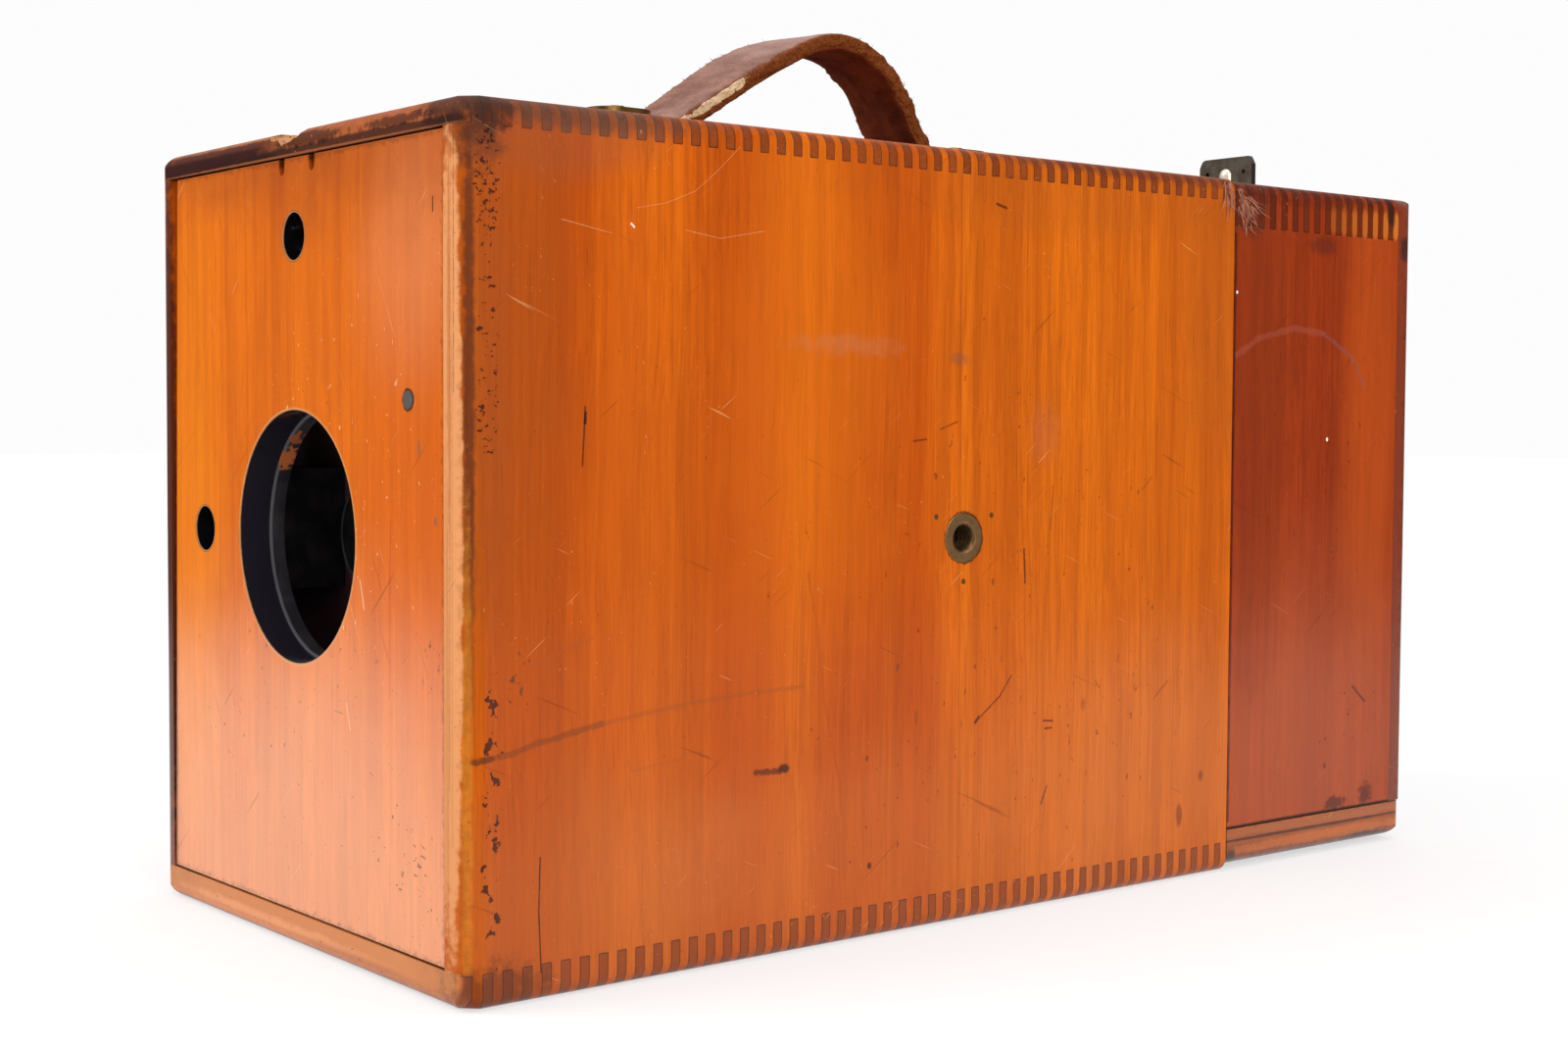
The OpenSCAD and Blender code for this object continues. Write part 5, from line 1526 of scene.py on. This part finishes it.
@dataclass
class Handle:
    """The leather strap, its loose fibres and its plates. Lengths are millimetres."""

    front: float = -56.0
    span: float = 82.5
    end: float = 17.0
    foot: float = 171.3
    pressed: float = 0.9
    crown: float = 196.4
    crown_share: float = 0.63
    width: float = 21.0
    thickness: float = 4.2
    start_pull: tuple[float, float] = (8.0, 0.8)
    crown_pulls: tuple[float, float] = (18.4, 20.5)
    rear_pull: tuple[float, float] = (-8.5, 5.0)
    twist: float = 9.0
    tear: float = -42.0
    tear_reach: float = 12.0
    board_top: float = 165.05
    rows: int = 340
    around: int = 72
    fold_rows: int = 40
    fold_around: int = 48
    fibres: int = 2600

    def line(self) -> Array:
        """The strap's middle line in Y and Z.

        Two cubic curves meet level at the crown, flat ends lie under the plates,
        and the whole is spaced evenly by arc length.

        Returns:
            One row for each step along the strap.
        """
        t = np.linspace(0, 1, 200)[:, None]

        def cubic(a: Array, b: Array, c: Array, d: Array) -> Array:
            """Points of a cubic curve from its four control points."""
            return a * (1 - t) ** 3 + 3 * b * (1 - t) ** 2 * t + 3 * c * (1 - t) * t**2 + d * t**3

        def flat(first: float, last: float, level: float) -> Array:
            """Points of a level line between two values of Y."""
            return np.stack([np.linspace(first, last, 30), np.full(30, level)], axis=1)

        start = np.array([self.front, self.foot])
        crown = np.array([self.front + self.crown_share * self.span, self.crown])
        rear = np.array([self.front + self.span, self.foot - self.pressed])
        before, after = (np.array([pull, 0.0]) for pull in self.crown_pulls)
        rise = cubic(start, start + np.array(self.start_pull), crown - before, crown)
        fall = cubic(crown, crown + after, rear + np.array(self.rear_pull), rear)
        flat_front = flat(self.front - self.end, self.front, self.foot)
        flat_rear = flat(rear[0], rear[0] + self.end, rear[1])
        path = np.concatenate([flat_front[:-1], rise, fall[1:], flat_rear[1:]])
        length = np.concatenate([[0], np.cumsum(np.hypot(*np.diff(path, axis=0).T))])
        even = np.linspace(0, length[-1], self.rows)
        return np.stack([np.interp(even, length, path[:, i]) for i in (0, 1)], axis=1)

    def build(self) -> None:
        """Builds the strap and its fibres and dresses the plates and screws.

        The section is a squared circle, twisted most on each side of the crown.
        Noise roughens it, most at the cut edges. It is torn near one place of
        the right edge.
        """
        path = self.line()
        ahead = unit(np.gradient(path, axis=0))
        out = np.stack([-ahead[:, 1], ahead[:, 0]], axis=1)
        share = np.clip((path[:, 0] - self.front) / self.span, 0, 1)
        untwisted = 0.75 * np.exp(-((share - 0.62) / 0.16) ** 2)
        twist = np.radians(self.twist) * np.sin(np.pi * share) ** 0.5 * (1 - untwisted)
        angle = np.linspace(0, math.tau, self.around, endpoint=False)
        across, through = squared(np.cos(angle), 0.3), squared(np.sin(angle), 0.55)
        wide = self.width / 2 * across[None, :] * (1 + 0.012 * np.sin(path[:, 0] * 0.21))[:, None]
        hollow = 0.25 * (1 - across**2)[None, :] * np.sin(np.pi * share)[:, None]
        deep = self.thickness / 2 * through[None, :] - hollow
        x = wide * np.cos(twist)[:, None] + deep * np.sin(twist)[:, None]
        lift = deep * np.cos(twist)[:, None] - wide * np.sin(twist)[:, None]
        y = path[:, 0][:, None] + out[:, 0][:, None] * lift
        z = path[:, 1][:, None] + out[:, 1][:, None] * lift
        points = np.stack([x, y, z], axis=-1).reshape(-1, 3)
        edge = np.clip((np.abs(across) - 0.86) / 0.12, 0, 1)
        edge_all = np.tile(edge, (self.rows, 1)).reshape(-1)
        under_all = np.tile(np.clip(-through * 3, 0, 1), (self.rows, 1)).reshape(-1)
        cut = (0.62 * value_noise(points, 0.28, 2) + 0.4 * value_noise(points, 0.8, 3)
               + 0.22 * value_noise(points, 2.2, 4))
        rough = 0.1 * value_noise(points, 0.5, 1) + edge_all * cut
        sideways = np.tile(np.sign(across) * edge, (self.rows, 1)).reshape(-1)
        points[:, 0] += sideways * (rough * 1.2 - 0.35)
        outward = np.repeat(out, self.around, axis=0) * np.tile(np.sign(through), self.rows)[:, None]
        points[:, 1:] += outward * (rough * 0.5)[:, None]
        upper = np.tile(np.clip(through * 2 + 0.6, 0, 1), self.rows)
        ragged = 0.85 + 0.45 * value_noise(points, 0.5, 6)
        near_tear = np.exp(-((points[:, 1] - self.tear) / self.tear_reach) ** 4)
        torn = near_tear * (points[:, 0] > 0) * edge_all * upper * ragged
        faces = grid_faces(self.rows, self.around, False, True)
        caps = [np.arange(self.around)[::-1], np.arange(self.around) + (self.rows - 1) * self.around]
        middle = np.array([points[cap].mean(axis=0) for cap in caps])
        fans = [np.stack([cap, np.roll(cap, -1), np.full(self.around, len(points) + k)], axis=1)
                for k, cap in enumerate(caps)]
        vertices = np.concatenate([points, middle]) / 1000
        attributes = {"under": np.append(under_all, [0, 0]), "edge": np.append(edge_all, [1, 1]),
                      "torn": np.append(torn, [0, 0])}
        leather = LeatherFinish().material()
        outline = faces.tolist() + fans[0].tolist() + fans[1].tolist()
        strap = finished_mesh("handle_leather", vertices, outline, leather, attributes)
        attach(strap, "casing")
        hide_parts("handle_strap")
        log.info("handle_leather stands for the strap")
        self.build_ends(leather)
        self.build_fibres(points.reshape(self.rows, self.around, 3), leather)
        brass = MetalFinish("handle plate brass", "A07A44", "6A4E2C", "2E2218", tarnish=0.8, roughness=0.42)
        dress(
            ["handle_plate_front", "handle_plate_rear", "handle_screws", "shutter_cord_eyelet",
             "button_bush", "release_button"],
            brass,
        )

    def build_ends(self, leather: Material) -> None:
        """Builds the folded lower layer under each end of the strap.

        The section is a squared circle that swells from each end of the fold by
        the root of 1 minus the eighth power of the distance from its middle.

        Args:
            leather: The strap's material.
        """
        rows, around = self.fold_rows, self.fold_around
        places = ((self.front - self.end, 0.0), (self.front + self.span, self.pressed))
        for k, (low, thin) in enumerate(places):
            half = (self.thickness - thin) / 2
            u = np.linspace(0, 1, rows)
            angle = np.linspace(0, math.tau, around, endpoint=False)
            x = self.width / 2 * squared(np.cos(angle), 0.25)
            z = half * squared(np.sin(angle), 0.45)
            swell = (1 - (2 * u - 1) ** 8) ** 0.5
            grid = np.stack([
                np.tile(x, (rows, 1)) * (0.94 + 0.06 * swell[:, None]),
                np.tile((low + u * self.end)[:, None], (1, around)),
                self.board_top + half + z[None, :] * (0.35 + 0.65 * swell[:, None]),
            ], axis=-1).reshape(-1, 3)
            grid[:, 0] += 0.25 * value_noise(grid, 0.6, 5 + k)
            ring = np.arange(around)
            caps = [ring[::-1].tolist(), (ring + (rows - 1) * around).tolist()]
            faces = grid_faces(rows, around, False, True).tolist() + caps
            none, edge = np.zeros(len(grid)), np.full(len(grid), 0.9)
            piece = finished_mesh(f"handle_fold_{k + 1}", grid / 1000, faces, leather,
                                  {"under": none, "edge": edge, "torn": none})
            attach(piece, "casing")
            log.info("handle_fold_%d lies under the strap's end", k + 1)

    def build_fibres(self, grid: Array, leather: Material) -> None:
        """Builds the loose fibres along the strap's cut edges, with random roots and aims.

        Args:
            grid: The strap's points, by row and by place around it.
            leather: The strap's material.
        """
        random = np.random.default_rng(11)
        count = self.fibres
        row = random.integers(30, self.rows - 30, count)
        near = np.arange(-6, 7)
        place = random.choice(np.concatenate([near, self.around // 2 + near]), count) % self.around
        base = grid[row, place]
        out = unit(base - grid[row].mean(axis=1))
        aim = unit(out + random.normal(0, 0.55, (count, 3)))
        length = np.clip(random.gamma(2.2, 0.22, count), 0.15, 1.7)[:, None]
        side = unit(np.cross(aim, random.normal(0, 1, (count, 3))))
        other = np.cross(aim, side)
        thick = random.uniform(0.03, 0.07, count)[:, None]
        bend = side * length * random.normal(0, 0.4, (count, 1))
        vertices, faces = hairs(base - 0.1 * out, aim * length, bend, side * thick, other * thick, 4)
        size = len(vertices)
        made = finished_mesh("handle_fibres", vertices / 1000, faces, leather,
                             {"under": np.zeros(size), "edge": np.ones(size), "torn": np.zeros(size)})
        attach(made, "casing")
        log.info("handle_fibres: %d loose fibres", count)


@dataclass
class TripodBushes:
    """The threaded bushes and their pins. Lengths are millimetres."""

    bore: float = 2.55
    thread: float = 0.62
    pitch: float = 1.27
    outer: float = 5.35
    flange: float = 13.0
    side_place: Point = (66.0, -17.2, 82.5)
    base_place: Point = (0.0, -17.2, 0.0)
    side_board: float = 6.4
    base_board: float = 7.0

    def profile(self, board: float) -> Array:
        """The bush's outline as radius and depth, with a zigzag to be threaded.

        Args:
            board: Thickness of its board.

        Returns:
            Rows of radius, depth from the outer face and 1 where the thread is cut.
        """
        depth = board + 3.0
        mouth = [[self.outer, 0.12, 0], [self.outer - 0.15, 0.0, 0], [3.5, 0.0, 0], [3.3, 0.06, 0]]
        wall = [[self.bore, z, 1] for z in np.linspace(0.35, depth - 0.25, int((depth - 0.6) / 0.09))]
        back = [[3.2, depth, 0], [self.flange - 0.2, depth, 0], [self.flange, depth - 0.2, 0],
                [self.flange, board, 0], [self.outer, board, 0]]
        return np.array(mouth + wall + back)

    def build_one(
        self, name: str, node: str, board: float, axes: Array, place: Point, material: Material
    ) -> None:
        """Builds one bush as a turned profile whose bore carries a screw thread.

        The bore's radius grows by the thread's depth times a triangle wave of
        depth over pitch minus the turn, which makes one continuous groove.

        Args:
            name: The piece's name.
            node: The CAD node that it stands for.
            board: Thickness of its board.
            axes: The bush's own X, Y and depth directions, as columns.
            place: The middle of its mouth.
            material: Its material.
        """
        profile = self.profile(board)
        turns = 96
        angle = np.linspace(0, math.tau, turns, endpoint=False)[:, None]
        phase = profile[None, :, 1] / self.pitch - angle / math.tau
        wave = np.abs(2 * (phase - np.floor(phase)) - 1)
        radius = profile[None, :, 0] + profile[None, :, 2] * self.thread * wave
        depth = np.broadcast_to(profile[None, :, 1], radius.shape)
        grid = np.stack([radius * np.cos(angle), radius * np.sin(angle), depth], axis=-1)
        placed = grid.reshape(-1, 3) @ axes.T + np.array(place)
        faces = grid_faces(turns, len(profile), True, True)
        made = finished_mesh(name, placed / 1000, faces, material, smooth=False)
        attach(made, "casing")
        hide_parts(node)
        log.info("%s stands for %s", name, node)

    def build(self) -> None:
        """Builds both bushes and dresses their pins."""
        x, y, z = self.side_place
        brass = MetalFinish(
            "bush brass", "A67E50", "6E5438", "33261C", tarnish=0.7, roughness=0.5,
            # Painted shade: the threaded bore of the side bush is darkened almost to black
            patches=(Patch((x - 4, y, z), (9, 3.3, 3.3), "1E150E", 0.88, 0.1, 0.6, 0.1),),
        ).material()
        inward = np.array([[0.0, 0.0, -1.0], [0.0, 1.0, 0.0], [1.0, 0.0, 0.0]])
        for name, node, board, axes, place in (
            ("side_bush_thread", "tripod_bush_side", self.side_board, inward, self.side_place),
            ("base_bush_thread", "tripod_bush_base", self.base_board, np.eye(3), self.base_place),
        ):
            self.build_one(name, node, board, axes, place, brass)
        pins = MetalFinish("pin brass", "8E6A40", "6A4C2C", "3A281C", tarnish=0.8, roughness=0.5)
        dress(["bush_pins"], pins)


@dataclass
class RearCover:
    """The lift-off cover, its key bush and the torn wood at its front corner.

    Lengths are millimetres. The rubbed edges belong to a box that reaches past
    the cover's open front and foot, so that only its rear and upper edges rub.
    """

    half_width: float = 66.0
    seam: float = 70.3
    rear_wall: float = 134.0
    rear: float = 140.0
    inner_top: float = 153.8
    height: float = 164.5
    half_fingers: int = 30
    first_glow: int = 17

    def build(self) -> None:
        """Dresses the cover and builds its splinters."""
        x = self.half_width
        half_pitch = (self.rear_wall - self.seam) / self.half_fingers
        band = (Fingers(self.seam, half_pitch, self.inner_top, 1.0),)
        face = Face(0, x)
        glow = face.patches(*(
            (self.seam + half_pitch * (k + 0.5), 157.3, half_pitch * 0.66, 3.5, "C07020",
             0.25 + 0.05 * (k - self.first_glow), 0.2, 0.35, 0.2)
            for k in range(self.first_glow, self.half_fingers, 2)
        ))
        stains = face.patches(
            (124, 110, 10, 60, "B04A0C", 0.45, 0.5, 0.03, 0.6),
            (96, 22, 44, 44, "B8603A", 0.36, 0.3, 0.03, 0.7),
            (78, 110, 13, 60, "6E240A", 0.5, 0.6, 0.05, 0.6),
            (104, 151, 5, 2.2, "4A1C16", 0.5, 0.7, 0.3, 0.5),
            (112, 12, 4, 1.6, "3A1410", 0.7, 1.2, 0.5, 0.4),
            (124, 13, 2.4, 3, "3A1410", 0.7, 1.2, 0.5, 0.4),
            (106.3, 103.3, 0.4, 0.5, "F4E6DC", 0.9, 0.2, 0.8, 0.2),
            (71.2, 138.2, 0.3, 0.4, "F4E6DC", 0.9, 0.2, 0.8, 0.2),
        )
        # top_shade and rear_shade are painted shade along the cover's top and rear edges; the others are
        # dirt, a notch and a dark line at the foot
        seam_dirt, top_shade, rear_shade, notch, corner_dirt, foot_line = face.patches(
            (76, 158, 7, 6, "4A241C", 0.5, 1.0, 0.35, 0.5),
            (100, 162.4, 44, 2.6, "4A1C12", 0.35, 0.8, 0.35, 0.4),
            (139.8, 90, 2.4, 90, "6A2612", 0.5, 0.4, 0.2, 0.4),
            (131.0, 161.0, 1.6, 4.0, "2E1A14", 0.8, 0.8, 0.35, 0.4),
            (137.5, 152.0, 2.4, 3.0, "2E1C1A", 0.8, 0.9, 0.35, 0.4),
            (105, 10.2, 60, 0.5, "200C08", 0.9, 0.3, 0.5, 0.3),
        )
        dirt_and_shade = (seam_dirt, top_shade, rear_shade, notch, corner_dirt, foot_line)
        strokes = face.strokes(
            (((71.4, 123.4), (79.6, 127.6), (92.5, 130.3), (104.0, 129.4)), 1.1, "9A5040", 0.28, 0.7, 0.35),
            (((104.0, 129.4), (115.9, 123.7), (121.3, 116.4)), 0.7, "7A4A4A", 0.35, 0.7, 0.35),
            (((118.2, 41.0), (123.2, 36.9)), 0.5, "3A1612", 0.6),
            (((70.6, 152.0), (70.6, 12.0)), 0.4, "2A100C", 0.7, 0.6, 0.35),
        )
        flecks = face.flecks(
            (115, 30, 22, 26, "4A1A10", 0.6, 0.5, (1.0, 1.0, 0.6), 0.65),
            (100, 100, 40, 60, "5A2210", 0.5, 0.6, (1.0, 1.0, 0.5), 0.67),
        )
        low, high = (-x, 50.0, -10.0), (x, self.rear, self.height)
        rubbed = Edges(low, high, 1.0, "B87030", "2E1210", 0.4, 0.45)
        side = WoodFinish(
            "cover side varnish", "A63C08", "8E2E06", "4A1404", seed=12.0, specular=0.08, coat=0.35,
            ring_strength=0.16, nicks=0.35, dull_above=159.0, fingers=band, patches=glow + stains + dirt_and_shade,
            strokes=strokes, flecks=flecks, edges=rubbed, scuffed="C0785A", scuffing=0.2, streaks=0.24,
        )
        dress(["cover_side_right", "cover_side_left"], side)
        top = WoodFinish(
            "cover top varnish", "9A4016", "84320E", "4A1806", grain=Grain.ACROSS,
            ring_direction=(0.0, 1.0, 0.2), seed=13.0, fingers=band, end_grain="6C2A12",
            tint_fingers=True, specular=0.05, coat=0.0,
            patches=(seam_dirt, top_shade, notch), edges=rubbed,
        )
        dress(["cover_top"], top)
        rear = WoodFinish(
            "cover rear varnish", "8A3814", "762C0E", "401305", ring_direction=(1.0, 0.3, 0.0),
            seed=14.0, edges=rubbed,
            patches=(Patch((x, 138.5, 90), (4, 9, 90), "7A3018", 0.6, 0.3, 0.2, 0.3), corner_dirt),
        )
        dress(["cover_rear"], rear)
        bush = MetalFinish("key bush brass", "9A7440", "6A4E2C", "2E2218", tarnish=0.8)
        dress(["key_bush"], bush)
        self.build_splinters()

    def build_splinters(self) -> None:
        """Builds the torn fibres at the seam's top corner, on each side of it.

        Those of the casing are shortened so that they end before the seam, and
        those of the cover start past it and hardly lean back towards it, so that
        the cover lifts off freely.
        """
        random = np.random.default_rng(5)
        material = WoodFinish(
            "torn wood", "CC9C84", "A86C54", "5E3226", seed=15.0, coat=0.0, roughness=0.75, scuffing=0.0
        ).material()
        seam = CasingSizes.seam
        for name, body, low, high, count in (
            ("seam_splinters_casing", "casing", 66.4, 69.2, 46),
            ("seam_splinters_cover", "back_cover", 71.0, 77.0, 150),
        ):
            y = random.uniform(low, high, count)
            z = np.clip(163.8 - random.gamma(2.0, 1.5, count) - 0.3 * (y - seam), 154, 164)
            base = np.stack([np.full(count, self.half_width - 0.2), y, z], axis=1)
            length = random.gamma(3.0, 0.85, count)
            turn = random.normal(0.25, 0.5, count)
            aim = np.stack([random.uniform(0.04, 0.25, count), np.sin(turn), -np.cos(turn)], axis=1)
            bend = np.stack([random.uniform(-0.1, 0.12, count), random.normal(0.1, 0.35, count),
                             random.normal(0.1, 0.25, count)], axis=1)
            aim, bend = aim * length[:, None], bend * length[:, None]
            if body == "casing":
                reach = base[:, 1] + np.abs(aim[:, 1]) + np.abs(bend[:, 1])
                share = np.minimum(1, (seam - 0.2 - base[:, 1]) / np.maximum(reach - base[:, 1], 1e-6))
                aim[:, 1] *= share
                bend[:, 1] *= share
            else:
                aim[:, 1] = np.maximum(aim[:, 1], -0.25)
                bend[:, 1] = np.maximum(bend[:, 1], 0.0)
            none = np.zeros(count)
            width = np.stack([none, random.uniform(0.08, 0.42, count), none], axis=1)
            thick = np.stack([random.uniform(0.05, 0.16, count), none, none], axis=1)
            vertices, faces = hairs(base, aim, bend, width, thick)
            piece = finished_mesh(name, vertices / 1000, faces, material, smooth=False)
            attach(piece, body)
            log.info("%s: %d splinters", name, count)


@dataclass
class RollHolder:
    """Spools and film. Lengths are millimetres."""

    spools: Point = (0.0, 106.0, 83.2)
    half_film: float = 63.2

    def build(self) -> None:
        """Dresses the spools, whose middle is wound film, and the film band."""
        spool = WoodFinish(
            "spool wood", "C8986A", "B4825A", "7A5230", seed=16.0, coat=0.05, roughness=0.6, scuffing=0.1,
            patches=(Patch(self.spools, (200, 200, self.half_film), "5E564C", 0.92, 0.0, 0.1, 0.004),),
        )
        dress(["supply_spool", "take_up_spool"], spool)
        film = PaintFinish("film and its paper", "6B6256", "8E8474", dusting=0.2, roughness=0.35)
        dress(["film_web"], film)


@dataclass
class Studio:
    """Floor, lamps, world and the camera at the photograph's viewing angle.

    Lengths are metres and angles degrees. A lamp's row is its name, place, aim,
    size and power.
    """

    place: Point = (0.405127, -0.339863, 0.107213)
    forward: float = -51.1226
    tilt: float = -2.6803
    roll: float = 0.2922
    lens: float = 50.36
    backdrop: tuple[float, ...] = (0.985, 0.98, 0.985, 1.0)
    fill: float = 0.62
    lamps: tuple[tuple[str, Point, Point, float, float], ...] = (
        ("key", (-0.7, -1.3, 1.1), (0, 0, 0.08), 1.0, 16.0),
        ("side", (1.5, -0.35, 0.75), (0, 0, 0.08), 1.0, 15.0),
        ("top", (0.1, 0.3, 1.6), (0, 0, 0.1), 1.2, 10.0),
    )

    def camera(self) -> None:
        """Places the camera from its yaw, pitch and roll in degrees."""
        yaw, pitch, roll = (math.radians(a) for a in (self.forward, self.tilt, self.roll))
        level = math.cos(pitch)
        ahead = np.array([level * math.sin(yaw), level * math.cos(yaw), math.sin(pitch)])
        right = np.array([math.cos(yaw), -math.sin(yaw), 0.0])
        up = np.cross(right, ahead)
        turned_right = math.cos(roll) * right + math.sin(roll) * up
        turned_up = -math.sin(roll) * right + math.cos(roll) * up
        data = bpy.data.cameras.new("view")
        data.lens, data.sensor_width, data.sensor_fit = self.lens, 36.0, "HORIZONTAL"
        data.clip_start, data.clip_end = 0.01, 50.0
        made = new_object("view", data)
        matrix = np.eye(4)
        matrix[:3] = np.stack([turned_right, turned_up, -ahead, self.place], axis=1)
        made.matrix_world = Matrix(matrix.tolist())
        bpy.context.scene.camera = made

    def lamp(self, name: str, place: Point, aim: Point, size: float, power: float) -> None:
        """Adds one soft square lamp.

        Args:
            name: The lamp's name.
            place: Where it stands, in metres.
            aim: The point that it faces.
            size: Length of its sides.
            power: Its power in watts.
        """
        data = bpy.data.lights.new(name, "AREA")
        data.shape, data.size, data.energy = "SQUARE", size, power
        made = new_object(name, data)
        made.location = place
        made.rotation_euler = (Vector(aim) - Vector(place)).to_track_quat("-Z", "Y").to_euler()

    def world(self) -> None:
        """A white backdrop for camera, glass and gloss, and soft light for the rest."""
        made = bpy.data.worlds.new("soft light")
        bpy.context.scene.world = made
        made.use_nodes = True
        g = Graph(made.node_tree)
        made.node_tree.nodes.clear()
        path = g.node("ShaderNodeLightPath").outputs
        ray = g.node("ShaderNodeTexCoord").outputs["Generated"]
        height = g.split(ray)[2]
        behind = g.step(g.vec("DOT_PRODUCT", ray, (-0.78, 0.62, 0.0)), 0.55, 0.95)
        gloss = g.rise(g.step(height, 0.15, 0.9), 0.75, 0.03)
        gloss = g.calc("MAXIMUM", gloss, behind)
        seen = g.calc("MAXIMUM", path["Is Camera Ray"], path["Is Transmission Ray"])
        level = g.calc("MAXIMUM", seen, g.times(path["Is Glossy Ray"], gloss))
        other = g.calc("SUBTRACT", 1.0, g.calc("MAXIMUM", seen, path["Is Glossy Ray"]), clamp=True)
        strength = g.rise(other, self.fill, level)
        back = g.node("ShaderNodeBackground")
        back.inputs["Color"].default_value = self.backdrop
        g.feed(back.inputs["Strength"], strength)
        out = g.node("ShaderNodeOutputWorld")
        g.feed(out.inputs["Surface"], back.outputs[0])

    def floor(self) -> None:
        """A pale floor that keeps a faint shadow and fades to white."""
        made = bpy.data.meshes.new("floor")
        made.from_pydata([(-6, -6, 0), (6, -6, 0), (6, 6, 0), (-6, 6, 0)], [], [(0, 1, 2, 3)])
        obj = new_object("floor", made)
        material = bpy.data.materials.new("paper floor")
        material.use_nodes = True
        material.node_tree.nodes.clear()
        g = Graph(material.node_tree)
        path = g.node("ShaderNodeLightPath").outputs
        place = g.position()
        wave = g.noise(place, 0.01, 3.0)
        diffuse = g.node("ShaderNodeBsdfDiffuse")
        g.feed(diffuse.inputs["Color"], g.blend(wave, (0.93, 0.925, 0.92, 1), (0.9, 0.895, 0.89, 1)))
        glow = g.node("ShaderNodeEmission")
        far = g.vec("LENGTH", g.vec("MULTIPLY", place, (1.0, 1.0, 0.0)))
        near = g.step(far, 1000.0, 450.0)
        strength = g.rise(g.times(path["Is Glossy Ray"], near), 0.9, 0.04)
        seen = g.calc("MAXIMUM", path["Is Camera Ray"], path["Is Transmission Ray"])
        g.feed(glow.inputs["Strength"], g.calc("MAXIMUM", seen, strength))
        away = g.step(far, 260.0, 900.0)
        share = g.calc("MAXIMUM", g.times(seen, g.rise(away, 0.4, 0.6)), path["Is Glossy Ray"])
        mix = g.node("ShaderNodeMixShader")
        g.feed(mix.inputs[0], share)
        g.feed(mix.inputs[1], diffuse.outputs[0])
        g.feed(mix.inputs[2], glow.outputs[0])
        g.feed(g.node("ShaderNodeOutputMaterial").inputs["Surface"], mix.outputs[0])
        made.materials.append(material)

    def build(self) -> None:
        """Sets the whole studio."""
        self.camera()
        self.world()
        self.floor()
        for lamp in self.lamps:
            self.lamp(*lamp)
        bpy.context.scene.view_settings.view_transform = "Standard"
        log.info("the studio stands")


def main() -> None:
    """Builds the object's sub-assemblies in order, then the studio round them."""
    logging.basicConfig(level=logging.INFO, format="%(name)s: %(message)s")
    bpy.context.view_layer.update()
    for part in (Casing, FrontPanel, LensUnit, Handle, TripodBushes, RearCover, RollHolder, Studio):
        part().build()


if __name__ == "__main__":
    main()
